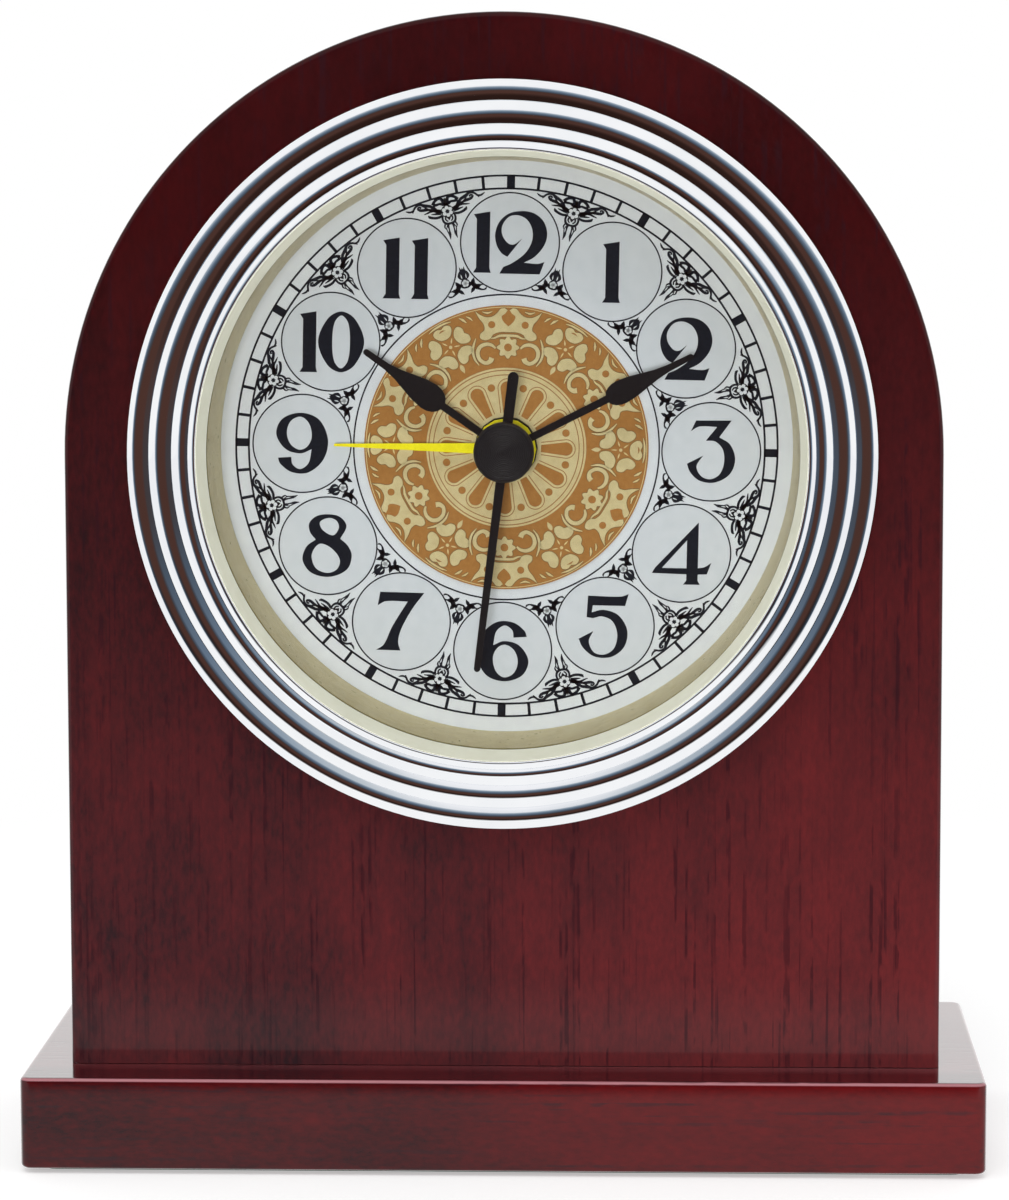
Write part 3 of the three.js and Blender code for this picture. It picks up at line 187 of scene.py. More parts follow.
def stroke(form, path, widths, back, front):
    points = []
    for i, (x, y) in enumerate(path):
        before = path[max(i - 1, 0)]
        after = path[min(i + 1, len(path) - 1)]
        along = Vector((after[0] - before[0], after[1] - before[1])).normalized()
        half = widths[i] / 2
        for w in (back, front):
            points.append((x - along.y * half, y + along.x * half, w))
            points.append((x + along.y * half, y - along.x * half, w))
    faces = [(0, 1, 3, 2)]
    for i in range(len(path) - 1):
        a = 4 * i
        b = a + 4
        faces += [
            (a, b, b + 1, a + 1),
            (a + 2, a + 3, b + 3, b + 2),
            (a, a + 2, b + 2, b),
            (a + 1, b + 1, b + 3, a + 3),
        ]
    last = 4 * (len(path) - 1)
    faces.append((last, last + 2, last + 3, last + 1))
    form.add(points, faces)


def dot(form, x, y, radius, back, front, steps=DOT_STEPS):
    loft(form, [circle(radius, back, steps, (x, y)), circle(radius, front, steps, (x, y))], False)


def band(form, inner, outer, back, front, at=(0, 0)):
    turned(form, [(inner, back), (outer, back), (outer, front), (inner, front)], at=at)


def quarter(edge):
    return [
        (edge * (1 - math.cos(angle)), edge * (1 - math.sin(angle)))
        for angle in (TURN / 4 * step / EDGE_STEPS for step in range(EDGE_STEPS + 1))
    ]


def smooth_path(knots, closed, steps=CURVE_STEPS):
    count = len(knots)
    path = []
    for i in range(count if closed else count - 1):
        a = knots[i]
        b = knots[(i + 1) % count]
        start = Vector(a[:2])
        end = Vector(b[:2])
        chord = end - start
        leave = chord
        arrive = chord
        if len(a) > 2:
            before = Vector(knots[i - 1][:2])
            leave = (end - before) * (chord.length / (chord.length + (start - before).length))
        if len(b) > 2:
            after = Vector(knots[(i + 2) % count][:2])
            arrive = (after - start) * (chord.length / (chord.length + (after - end).length))
        parts = steps if len(a) > 2 or len(b) > 2 else 1
        for step in range(parts):
            t = step / parts
            point = (
                start * (2 * t**3 - 3 * t**2 + 1)
                + leave * (t**3 - 2 * t**2 + t)
                + end * (3 * t**2 - 2 * t**3)
                + arrive * (t**3 - t**2)
            )
            path.append((point.x, point.y))
    if not closed:
        path.append(tuple(knots[-1][:2]))
    return path


def soft_stroke(form, knots, widths, back, front):
    eased = [knots[0], *((x, y, True) for x, y in knots[1:-1]), knots[-1]]
    path = smooth_path(eased, False)
    last = len(path) - 1
    spans = len(widths) - 1
    eased_widths = []
    for i in range(len(path)):
        place = spans * i / last
        low = min(int(place), spans - 1)
        eased_widths.append(widths[low] + (widths[low + 1] - widths[low]) * (place - low))
    stroke(form, path, eased_widths, back, front)


def leaf(form, start, end, width, back, front, bend=0.0, fullness=0.8):
    a = Vector(start)
    b = Vector(end)
    along = b - a
    side = Vector((-along.y, along.x))
    path = []
    widths = []
    for step in range(CURVE_STEPS + 1):
        t = step / CURVE_STEPS
        point = a + along * t + side * (bend * 4 * t * (1 - t))
        path.append((point.x, point.y))
        widths.append(max(width * math.sin(math.pi * t**fullness), LEAF_TIP))
    stroke(form, path, widths, back, front)


def swung(degrees, radius):
    angle = math.radians(degrees + DIAL_TURN)
    out = Vector((math.sin(angle), math.cos(angle)))
    across = Vector((out.y, -out.x))
    return lambda u, v: tuple(out * (radius + v) + across * u)


def piece(name, form, body, material, replaced=(), place=clock_place, sharp=32):
    mesh = bpy.data.meshes.new(name)
    mesh.from_pydata([place(*point) for point in form.points], [], form.faces)
    shaped = bmesh.new()
    shaped.from_mesh(mesh)
    bmesh.ops.recalc_face_normals(shaped, faces=shaped.faces)
    shaped.to_mesh(mesh)
    shaped.free()
    mesh.materials.append(material)
    mesh.shade_smooth()
    mesh.set_sharp_from_angle(angle=math.radians(sharp))
    made = bpy.data.objects.new(name, mesh)
    bpy.context.scene.collection.objects.link(made)
    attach(made, body)
    if replaced:
        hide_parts(*replaced)
    return made


# Materials
def linear(red, green, blue):
    def channel(value):
        share = value / 255
        return share / 12.92 if share <= 0.04045 else ((share + 0.055) / 1.055) ** 2.4

    return (channel(red), channel(green), channel(blue), 1)


class Nodes:
    def __init__(self, tree):
        self.tree = tree

    def node(self, kind, **values):
        made = self.tree.nodes.new("ShaderNode" + kind)
        for key, value in values.items():
            setattr(made, key, value)
        return made

    def join(self, source, target):
        self.tree.links.new(source, target)

    def math(self, operation, first, second):
        made = self.node("Math", operation=operation)
        for socket, value in zip(made.inputs, (first, second)):
            if isinstance(value, (int, float)):
                socket.default_value = value
            else:
                self.join(value, socket)
        return made.outputs[0]

    def mix(self, share, first, second):
        made = self.node("MixShader")
        for socket, source in zip(made.inputs, (share, first, second)):
            self.join(source, socket)
        return made.outputs[0]


class Look(Nodes):
    def __init__(self, name, **values):
        self.material = bpy.data.materials.new(name)
        self.material.use_nodes = True
        super().__init__(self.material.node_tree)
        self.shader = self.tree.nodes["Principled BSDF"]
        for socket, value in values.items():
            self.shader.inputs[socket.replace("_", " ").title().replace("Ior", "IOR")].default_value = value

    def surface(self, source):
        self.join(source, self.tree.nodes["Material Output"].inputs["Surface"])

    def coords(self, stretch=(1, 1, 1)):
        source = self.node("TexCoord")
        mapping = self.node("Mapping")
        mapping.inputs["Scale"].default_value = stretch
        self.join(source.outputs["Object"], mapping.inputs["Vector"])
        return mapping.outputs["Vector"]

    def noise(self, scale, stretch=(1, 1, 1), detail=4, rough=0.55):
        made = self.node("TexNoise")
        made.inputs["Scale"].default_value = scale
        made.inputs["Detail"].default_value = detail
        made.inputs["Roughness"].default_value = rough
        self.join(self.coords(stretch), made.inputs["Vector"])
        return made.outputs["Fac"]

    def spread(self, value, low, high, to_low=0.0, to_high=1.0):
        made = self.node("MapRange")
        for socket, number in zip(("From Min", "From Max", "To Min", "To Max"), (low, high, to_low, to_high)):
            made.inputs[socket].default_value = number
        self.join(value, made.inputs["Value"])
        return made.outputs["Result"]

    def blend(self, share, first, second):
        made = self.node("Mix", data_type="RGBA")
        self.join(share, made.inputs["Factor"])
        for socket, colour in zip((made.inputs[6], made.inputs[7]), (first, second)):
            if isinstance(colour, tuple):
                socket.default_value = colour
            else:
                self.join(colour, socket)
        return made.outputs[2]

    def colour(self, source):
        self.join(source, self.shader.inputs["Base Color"])

    def roughness(self, source):
        self.join(source, self.shader.inputs["Roughness"])

    def bump(self, height, strength, distance):
        made = self.node("Bump")
        made.inputs["Strength"].default_value = strength
        made.inputs["Distance"].default_value = distance
        self.join(height, made.inputs["Height"])
        self.join(made.outputs["Normal"], self.shader.inputs["Normal"])

    def axis(self, name):
        source = self.node("TexCoord")
        parts = self.node("SeparateXYZ")
        self.join(source.outputs["Object"], parts.inputs[0])
        return parts.outputs[name]


def satin(name, light, dark, scale, rough, spread=0.06, grain=5000, depth=0.00001, **values):
    look = Look(name, **values)
    mottle = look.spread(look.noise(scale), 0.3, 0.7)
    look.colour(look.blend(mottle, linear(*light), linear(*dark)))
    look.roughness(look.spread(look.noise(scale * 2), 0.3, 0.7, rough - spread, rough + spread))
    look.bump(look.noise(grain, detail=2), 0.3, depth)
    return look.material


def wood(name, along, coat, painted_light_rise, foot_tones, top_tones, ledge=None):
    look = Look(name, coat_weight=coat, coat_roughness=0.09, coat_ior=1.36, roughness=0.12)
    glance = look.node("LayerWeight")
    look.join(look.spread(glance.outputs["Facing"], 0.5, 0.8), look.shader.inputs["Specular IOR Level"])

    def grain(share):
        return tuple(share if axis == along else 1 for axis in range(3))

    figure = look.spread(look.noise(42, grain(0.5), detail=4, rough=0.6), 0.34, 0.66)
    streak = look.spread(look.noise(420, grain(0.05), detail=4, rough=0.6), 0.3, 0.72)
    mottle = look.spread(look.noise(1500, grain(0.4), detail=3, rough=0.7), 0.3, 0.7)
    # Lighter towards the right: painted warm light from the right side
    tone = look.spread(look.axis("X"), -0.065, 0.065, -0.22, 0.2)
    for part, share in ((figure, 0.5), (streak, 0.14), (mottle, 0.36)):
        tone = look.math("ADD", tone, look.math("MULTIPLY", part, share))
    # Tone by height is painted light: on the upright the foot turns lighter and greyer as a painted
    # reflection of the floor and darker towards the top; on the base the top edge and top face turn lighter
    # as a painted highlight
    height = look.spread(look.axis("Z"), *painted_light_rise)
    lacquer_with_painted_light = look.blend(height, look.blend(tone, *foot_tones), look.blend(tone, *top_tones))
    if ledge:
        # Painted shade and painted reflection of the upright on the ledge just in front of it
        shade = look.math("MULTIPLY", height, look.spread(look.axis("Y"), *ledge["fall"]))
        lacquer_with_painted_light = look.blend(shade, lacquer_with_painted_light, ledge["shade"])
        # Painted highlight: a pale pink line along the base's top edge
        line = look.math("SUBTRACT", look.spread(look.axis("Z"), *ledge["painted_highlight_foot"]),
                         look.spread(look.axis("Z"), *ledge["painted_highlight_head"]))
        lacquer_with_painted_light = look.blend(line, lacquer_with_painted_light, ledge["line"])
    lines = look.spread(look.noise(1500, grain(0.012), detail=2, rough=0.5), 0.54, 0.63)
    dashes = look.spread(look.noise(800, grain(0.3), detail=2, rough=0.5), 0.43, 0.55)
    patches = look.spread(look.noise(60, grain(0.4), detail=2), 0.32, 0.55, 0.3, 1)
    pores = look.math("MULTIPLY", look.math("MULTIPLY", lines, dashes), patches)
    look.colour(look.blend(look.math("MULTIPLY", pores, 0.6), lacquer_with_painted_light, linear(34, 15, 21)))
    look.bump(look.math("SUBTRACT", look.math("MULTIPLY", mottle, 0.15), pores), 0.12, 0.0001)
    return look.material


def brushed(name, light, dark, rough):
    look = Look(name, metallic=0.32, anisotropic=1.0, specular_ior_level=0.3)
    tangent = look.node("Tangent", direction_type="RADIAL", axis="Y")
    look.join(tangent.outputs[0], look.shader.inputs["Tangent"])
    mottle = look.spread(look.noise(900, detail=3), 0.3, 0.7)
    look.colour(look.blend(mottle, linear(*light), linear(*dark)))
    look.roughness(look.spread(mottle, 0, 1, rough - 0.05, rough + 0.05))
    look.bump(look.noise(3000, detail=1), 0.1, 0.00001)
    return look.material


def glass(name, tint):
    look = Look(name, transmission_weight=1.0, ior=1.45, base_color=tint)
    look.roughness(look.spread(look.noise(60, detail=3), 0.3, 0.7, 0.0, 0.015))
    clear = look.node("BsdfTransparent")
    clear.inputs["Color"].default_value = tint
    shadow = look.node("LightPath").outputs["Is Shadow Ray"]
    look.surface(look.mix(shadow, look.shader.outputs[0], clear.outputs[0]))
    return look.material


# Upright: the foot tones carry a painted reflection of the floor and painted light, the top tones are darker
ARCH_WOOD = wood(
    "mahogany_upright", along=2, coat=0.5, painted_light_rise=(0.03, 0.13),
    foot_tones=(linear(40, 26, 29), linear(90, 32, 34)),
    top_tones=(linear(28, 6, 7), linear(55, 9, 11)),
)
# Base: the top tones are a painted highlight on the top edge and top face
BASE_WOOD = wood(
    "mahogany_along", along=0, coat=1.0, painted_light_rise=(0.01305, 0.01335),
    foot_tones=(linear(32, 5, 9), linear(84, 8, 11)),
    top_tones=(linear(112, 45, 48), linear(128, 74, 78)),
    ledge={
        "fall": (-0.0195, -0.0228),
        "shade": linear(72, 11, 18),
        "painted_highlight_foot": (0.01296, 0.01312),
        "painted_highlight_head": (0.01334, 0.01339),
        "line": linear(154, 102, 108),
    },
)
CHROME = satin("polished_chrome", (246, 247, 249), (238, 240, 243), 90, 0.035,
               spread=0.015, grain=900, depth=0.000002, metallic=1.0)
PALE_GOLD_PAINTED_REFLECTION = satin("pale_satin_gold_painted_reflection", (246, 246, 226), (240, 240, 218), 400, 0.4,
                  spread=0.05, grain=3000, depth=0.000001, metallic=0.15)
LENS_GLASS = glass("lens_glass", linear(253, 253, 253))
CREAM_GOLD = satin("satin_cream_gold", (216, 200, 140), (204, 187, 126), 500, 0.32,
                   spread=0.05, grain=4000, metallic=0.35)
DIAL_PAINT = satin("silver_white_paint", (222, 229, 231), (216, 222, 226), 700, 0.5, specular_ior_level=0.35)
CARTOUCHE_PAINT = satin("grey_white_paint", (213, 220, 224), (206, 214, 218), 700, 0.5,
                        specular_ior_level=0.35)
DIAL_INK = satin("blue_black_ink", (24, 31, 41), (15, 21, 30), 2500, 0.5,
                 spread=0.08, grain=6000, specular_ior_level=0.3)
ORANGE_PRINT = satin("orange_print", (173, 123, 65), (161, 111, 56), 1400, 0.55,
                     grain=6000, specular_ior_level=0.3)
BROWN_PRINT = satin("brown_print", (140, 108, 64), (128, 96, 54), 1400, 0.55,
                    grain=6000, specular_ior_level=0.3)
GILDING = brushed("circular_brushed_gold", (240, 226, 172), (228, 212, 158), 0.5)
BLACK_PAINT = satin("black_hand_paint", (23, 23, 25), (14, 14, 16), 1200, 0.42, spread=0.08)
YELLOW_PAINT = satin("yellow_hand_paint", (252, 242, 32), (240, 228, 22), 1200, 0.45)
BLACK_PLASTIC = satin("moulded_black_plastic", (30, 30, 32), (20, 20, 22), 700, 0.5,
                      spread=0.08, grain=3500, depth=0.00005)
WHITE_PLASTIC = satin("moulded_white_plastic", (226, 226, 220), (212, 212, 205), 500, 0.45,
                      grain=3000, depth=0.00004)
BRASS = satin("turned_brass", (205, 168, 92), (186, 146, 72), 900, 0.28, spread=0.07, metallic=1.0)
STEEL = satin("plated_steel", (196, 198, 202), (170, 172, 178), 900, 0.3, spread=0.08, metallic=1.0)
COPPER = satin("enamelled_copper", (186, 96, 48), (140, 62, 28), 1600, 0.35,
               spread=0.08, grain=6000, depth=0.00002, metallic=0.8)
BOARD_GREEN = satin("green_circuit_board", (34, 96, 58), (22, 74, 42), 900, 0.4, spread=0.07)
RUBBER = satin("black_rubber", (34, 34, 34), (24, 24, 24), 800, 0.75, grain=4000, depth=0.00003)
FELT = satin("green_felt", (40, 66, 50), (24, 44, 32), 1500, 0.95,
             spread=0.04, grain=2600, depth=0.0004, sheen_weight=0.4)
CELL_JACKET = satin("cell_jacket", (58, 62, 70), (44, 48, 56), 700, 0.35, metallic=0.3)

# Every solid starts from the finish of its own slot
SLOT_FINISHES = {
    "mahogany": ARCH_WOOD,
    "felt": FELT,
    "steel": STEEL,
    "chrome": CHROME,
    "glass": LENS_GLASS,
    "cream_gold": CREAM_GOLD,
    "silver_white": DIAL_PAINT,
    "gold": GILDING,
    "black_paint": BLACK_PAINT,
    "yellow_paint": YELLOW_PAINT,
    "black_plastic": BLACK_PLASTIC,
    "white_plastic": WHITE_PLASTIC,
    "brass": BRASS,
    "copper": COPPER,
    "board_green": BOARD_GREEN,
    "rubber": RUBBER,
    "cell_jacket": CELL_JACKET,
}
for part in frame["record"]["subparts"]:
    node = frame["nodes"][part["node"]]
    node.data.materials.clear()
    node.data.materials.append(SLOT_FINISHES[part["material_slot"]])
    node.data.shade_smooth()
    node.data.set_sharp_from_angle(angle=math.radians(30))


# Wooden base: a flat block with softened edges
def rounded_rectangle(width, depth, radius, height):
    loop = []
    for quarter in range(4):
        x = (width / 2 - radius) * (1 if quarter in (0, 3) else -1)
        y = (depth / 2 - radius) * (1 if quarter in (0, 1) else -1)
        for step in range(EDGE_STEPS + 1):
            angle = TURN / 4 * (quarter + step / EDGE_STEPS)
            loop.append((x + radius * math.cos(angle), y + radius * math.sin(angle), height))
    return loop


def softened(edge, low, high):
    upward = [(edge + EDGE_RIM, low), *((drop, low + inset) for inset, drop in quarter(edge))]
    return upward + [(inset, low + high - level) for inset, level in reversed(upward)]


base = Form()
loft(base, [
    rounded_rectangle(
        BASE_WIDTH - 2 * inset, BASE_DEPTH - 2 * inset, max(BASE_CORNER - inset, LEAST_CORNER), level)
    for inset, level in softened(BASE_EDGE, BASE_BOTTOM, BASE_TOP)
], False)
piece("wooden_base", base, "case", BASE_WOOD, ["base_plinth"], stand_place)


# Wooden arch: a round-topped block with a bore for the insert
def arch_outline(inset, depth):
    half = ARCH_HALF - inset
    sides = 24
    curve = 96
    floor = 48
    loop = [(half, ARCH_BOTTOM * (1 - i / sides), depth) for i in range(sides)]
    for i in range(curve):
        angle = math.pi * i / curve
        loop.append((half * math.cos(angle), half * math.sin(angle), depth))
    loop += [(-half, ARCH_BOTTOM * i / sides, depth) for i in range(sides)]
    loop += [(-half + 2 * half * i / floor, ARCH_BOTTOM, depth) for i in range(floor)]
    return loop


def bore_outline(radius, depth):
    loop = []
    for x, y, _ in arch_outline(0, depth):
        reach = math.hypot(x, y)
        loop.append((x / reach * radius, y / reach * radius, depth))
    return loop


arch = Form()
BORE_CHAMFER = 0.5
arch_loops = [arch_outline(inset, level) for inset, level in softened(ARCH_EDGE, -ARCH_THICKNESS, 0)]
arch_loops += [
    bore_outline(BORE_RADIUS + 2 * BORE_CHAMFER, 0),
    bore_outline(BORE_RADIUS, 0),
    bore_outline(BORE_RADIUS, BORE_CHAMFER - ARCH_THICKNESS),
    bore_outline(BORE_RADIUS + BORE_CHAMFER, -ARCH_THICKNESS),
    bore_outline(BORE_RADIUS + 2 * BORE_CHAMFER, -ARCH_THICKNESS),
]
loft(arch, arch_loops, True)
piece("wooden_arch", arch, "case", ARCH_WOOD, ["arch_case"])

# Chrome bezel: three beads that step up to a lip, each with an outer flank and a rounder front
BEADS = (
    {"wall": 3.1, "flank": 3.43, "front": 2.0, "inner_tilt": 23, "slope": 0.7},
    {"wall": 0.2, "flank": 4.44, "front": 1.9, "inner_tilt": 23, "slope": 0.7},
    {"wall": 0.2, "flank": 4.84, "front": 1.0, "inner_tilt": 23, "slope": 0.4},
    {"wall": 0.2, "flank": 3.02, "front": 0.25, "inner_tilt": 85, "slope": 0.0},
)
FLANK_TILT = 35
SHOULDER_TILT = 19
bezel_profile = [(BEZEL_RADIUS, BEZEL_FOOT)]
for bead in BEADS:
    foot_radius, foot_level = bezel_profile[-1]
    bezel_profile.append((foot_radius, foot_level + bead["wall"]))
    arcs = (
        (bead["flank"], FLANK_TILT, SHOULDER_TILT),
        (bead["front"], SHOULDER_TILT, -bead["inner_tilt"]),
    )
    for curve, first, last in arcs:
        start_radius, start_level = bezel_profile[-1]
        for step in range(1, BEAD_STEPS + 1):
            tilt = math.radians(first + (last - first) * step / BEAD_STEPS)
            bezel_profile.append((
                start_radius - curve * (math.sin(math.radians(first)) - math.sin(tilt)),
                start_level + curve * (math.cos(tilt) - math.cos(math.radians(first))),
            ))
    if bead["slope"]:
        crest_radius, crest_level = bezel_profile[-1]
        drop = bead["slope"] * math.tan(math.radians(bead["inner_tilt"]))
        bezel_profile.append((crest_radius - bead["slope"], crest_level - drop))
LIP_INNER, LIP_LEVEL = bezel_profile[-1]
bezel_profile += [
    (THROAT_RADIUS, THROAT_DEPTH),
    (LENS_RADIUS, THROAT_DEPTH),
    (LENS_RADIUS, BEZEL_FOOT),
]
bezel = Form()
turned(bezel, bezel_profile)
piece("chrome_bezel", bezel, "case", CHROME, ["bezel"])

# Pale satin lining of the throat, whose pale colour is a painted reflection of the cream wall and white light
# in the chrome, and a black seal at its foot that also paints the shadow line there
LINING = 0.05
LINING_FRONT = LIP_LEVEL - 0.05
SEAL_HEIGHT = 0.12


def throat_radius(level):
    return THROAT_RADIUS + (LIP_INNER - THROAT_RADIUS) * (level - THROAT_DEPTH) / (LIP_LEVEL - THROAT_DEPTH)


def throat_ring(low, high):
    ring = Form()
    turned(ring, [
        (throat_radius(low) - LINING, low),
        (throat_radius(low) + LINING, low),
        (throat_radius(high) + LINING, high),
        (throat_radius(high) - LINING, high),
    ])
    return ring


lining = throat_ring(THROAT_DEPTH + SEAL_HEIGHT, LINING_FRONT)
piece("throat_lining_painted_reflection", lining, "case", PALE_GOLD_PAINTED_REFLECTION)
piece("lens_seal_painted_shadow_line", throat_ring(THROAT_DEPTH, THROAT_DEPTH + SEAL_HEIGHT), "case", RUBBER)

# Front glass with ground edges
LENS_EDGE = 0.2
lens = Form()
turned(lens, [
    (LENS_RADIUS - 2 * LENS_EDGE, LENS_BACK),
    (LENS_RADIUS - LENS_EDGE, LENS_BACK),
    (LENS_RADIUS, LENS_BACK + LENS_EDGE),
    (LENS_RADIUS, LENS_FRONT - LENS_EDGE),
    (LENS_RADIUS - LENS_EDGE, LENS_FRONT),
    (LENS_RADIUS - 2 * LENS_EDGE, LENS_FRONT),
], False)
piece("front_glass", lens, "case", LENS_GLASS, ["lens"])

# Cream-gold wall between the glass and the dial
rehaut = Form()
turned(rehaut, [
    (REHAUT_INNER_BACK, REHAUT_BACK),
    (LENS_RADIUS, REHAUT_BACK),
    (LENS_RADIUS, REHAUT_FRONT),
    (THROAT_RADIUS, REHAUT_FRONT),
])
piece("dial_wall", rehaut, "case", CREAM_GOLD, ["rehaut_ring"])

# Dial plate and its greyer circles
dial = Form()
band(dial, DIAL_HOLE, LENS_RADIUS, DIAL_BACK, DIAL_FRONT)
piece("painted_dial", dial, "case", DIAL_PAINT, ["dial_plate"])
ink_back = DIAL_FRONT - INK
ink_front = DIAL_FRONT + INK
wash_front = DIAL_FRONT + INK / 2
circles = Form()
for hour in range(HOURS):
    x, y = swung(hour * HOUR_ANGLE, CARTOUCHE_AT)(0, 0)
    dot(circles, x, y, CARTOUCHE_RADIUS, ink_back, wash_front, ROUND_STEPS // 2)
piece("dial_circles", circles, "case", CARTOUCHE_PAINT)

# Minute track, thin rings and the circles' outlines
track = Form()
for radius, line in ((TRACK_OUTER, TRACK_LINE), (TRACK_INNER, TRACK_LINE), (INNER_RING, INNER_LINE)):
    band(track, radius - line / 2, radius + line / 2, ink_back, ink_front)
for minute in range(MINUTES):
    spot = swung(minute * MINUTE_ANGLE, 0)
    bar = MINUTE_BAR if minute % 5 else HOUR_BAR
    stroke(track, [spot(0, TRACK_INNER), spot(0, TRACK_OUTER)], [bar, bar], ink_back, ink_front)
for hour in range(HOURS):
    band(track, CARTOUCHE_RADIUS - CARTOUCHE_LINE / 2, CARTOUCHE_RADIUS + CARTOUCHE_LINE / 2,
         ink_back, ink_front, swung(hour * HOUR_ANGLE, CARTOUCHE_AT)(0, 0))
piece("dial_track", track, "case", DIAL_INK)

# Numerals: knots of the outlines, a third value marks a round one
ROUND = True
DIGITS = {
    "0": [
        [(0.00, 4.27, ROUND), (1.92, 3.24, ROUND), (3.24, 0.00, ROUND), (1.92, -3.24, ROUND),
         (0.00, -4.27, ROUND), (-1.92, -3.24, ROUND), (-3.24, 0.00, ROUND), (-1.92, 3.24, ROUND)],
        [(0.00, 3.71, ROUND), (0.94, 2.72, ROUND), (1.25, 0.00, ROUND), (0.94, -2.72, ROUND),
         (0.00, -3.71, ROUND), (-0.94, -2.72, ROUND), (-1.25, 0.00, ROUND), (-0.94, 2.72, ROUND)],
    ],
    "1": [
        [(0.94, 4.23), (0.94, -3.64), (1.13, -4.32), (-1.36, -4.32), (-0.93, -3.64), (-0.93, 3.17),
         (-1.36, 3.83)],
    ],
    "2": [
        [(0.16, 0.54), (-0.94, -0.28, ROUND), (-1.76, -0.16, ROUND), (-2.59, 0.94, ROUND),
         (-2.66, 2.23, ROUND), (-1.76, 3.52, ROUND), (-0.47, 3.78, ROUND), (0.82, 3.17, ROUND),
         (1.57, 1.76, ROUND), (1.52, 0.12, ROUND), (0.58, -1.53, ROUND), (-1.18, -2.89, ROUND),
         (-2.42, -3.47), (-2.94, -4.39), (2.70, -4.41), (3.35, -2.65), (2.46, -2.93, ROUND),
         (0.47, -2.82), (1.99, -1.95, ROUND), (3.28, -0.35, ROUND), (3.66, 1.24, ROUND),
         (3.16, 2.93, ROUND), (1.87, 4.06, ROUND), (0.11, 4.39, ROUND), (-1.76, 3.99, ROUND),
         (-3.06, 2.82, ROUND), (-3.62, 1.17, ROUND), (-3.41, -0.35, ROUND), (-2.70, -1.53, ROUND),
         (-1.86, -2.04)],
    ],
    "3": [
        [(-2.21, 4.37), (2.77, 4.46), (1.08, 2.07), (2.63, 1.08, ROUND), (3.38, -1.03, ROUND),
         (2.63, -3.15, ROUND), (0.52, -4.32, ROUND), (-1.60, -4.08, ROUND), (-2.91, -2.91, ROUND),
         (-3.38, -1.74), (-1.13, -0.56), (-2.02, -2.07, ROUND), (-1.36, -3.43, ROUND),
         (-0.05, -3.85, ROUND), (1.22, -3.15, ROUND), (1.83, -1.50, ROUND), (1.60, 0.38, ROUND),
         (0.52, 1.46, ROUND), (-0.80, 1.55), (0.75, 3.52), (-1.74, 3.52, ROUND), (-2.91, 2.86)],
    ],
    "4": [
        [(2.35, 4.41), (2.35, -2.07), (3.29, -1.88, ROUND), (4.23, -1.27), (3.62, -2.91), (2.35, -2.96),
         (2.35, -3.85), (2.68, -4.41), (0.30, -4.41), (0.75, -3.85), (0.75, -2.96), (-4.13, -2.86),
         (-3.66, -2.07)],
        [(0.75, 1.85), (0.75, -2.11), (-2.71, -2.11)],
    ],
    "5": [
        [(-2.49, 4.27), (2.11, 4.23, ROUND), (3.24, 4.60), (2.77, 2.91), (-1.78, 2.91), (-1.92, 1.92),
         (-0.23, 2.30, ROUND), (1.88, 1.55, ROUND), (3.15, -0.61, ROUND), (2.72, -2.96, ROUND),
         (0.94, -4.37, ROUND), (-1.41, -4.37, ROUND), (-3.05, -3.15, ROUND), (-3.71, -1.88),
         (-1.64, -0.75), (-2.25, -2.21, ROUND), (-1.50, -3.76, ROUND), (0.00, -4.04, ROUND),
         (1.31, -3.15, ROUND), (1.74, -1.17, ROUND), (1.03, 0.70, ROUND), (-0.47, 1.36, ROUND),
         (-1.74, 1.08), (-2.63, 1.22)],
    ],
    "7": [
        [(-3.05, 4.18), (3.19, 4.13), (1.55, 1.88, ROUND), (0.05, -0.94, ROUND), (-0.42, -2.82, ROUND),
         (-0.09, -4.13), (-3.52, -4.08), (-2.44, -3.29, ROUND), (-1.27, -0.70, ROUND), (0.85, 2.86),
         (-2.21, 2.86, ROUND), (-3.38, 2.25)],
    ],
    "8": [
        [(0.00, 4.46, ROUND), (1.64, 4.13, ROUND), (2.58, 2.86, ROUND), (1.74, 1.03), (2.82, 0.05, ROUND),
         (3.38, -1.36, ROUND), (2.72, -3.33, ROUND), (0.23, -4.41, ROUND), (-2.35, -3.85, ROUND),
         (-3.57, -2.07, ROUND), (-3.05, -0.19, ROUND), (-1.74, 0.85), (-2.58, 1.92, ROUND),
         (-2.68, 3.19, ROUND), (-1.64, 4.18, ROUND)],
        [(0.05, 3.94, ROUND), (1.17, 3.57, ROUND), (1.50, 2.54, ROUND), (0.70, 1.50, ROUND),
         (-0.80, 2.25, ROUND), (-1.17, 3.33, ROUND)],
        [(-0.99, 0.28, ROUND), (0.47, -0.33, ROUND), (1.69, -1.88, ROUND), (1.36, -3.24, ROUND),
         (0.00, -3.85, ROUND), (-1.64, -3.24, ROUND), (-2.30, -1.60, ROUND), (-1.83, -0.28, ROUND)],
    ],
    "9": [
        [(-3.66, 1.31, ROUND), (-2.82, 3.43, ROUND), (-0.23, 4.32, ROUND), (2.35, 3.43, ROUND),
         (3.66, 0.61, ROUND), (3.05, -2.21, ROUND), (0.94, -4.08, ROUND), (-1.41, -4.08, ROUND),
         (-3.05, -2.91, ROUND), (-3.38, -2.07), (-1.50, -1.92), (-1.31, -2.96, ROUND),
         (-0.23, -3.62, ROUND), (0.94, -2.77, ROUND), (1.36, -0.80), (-0.23, -1.41, ROUND),
         (-2.35, -0.80, ROUND)],
        [(-0.23, 3.76, ROUND), (0.94, 2.86, ROUND), (1.36, 0.99, ROUND), (0.75, -0.42, ROUND),
         (-0.38, -0.89, ROUND), (-1.64, -0.09, ROUND), (-2.16, 1.55, ROUND), (-1.60, 3.15, ROUND)],
    ],
}
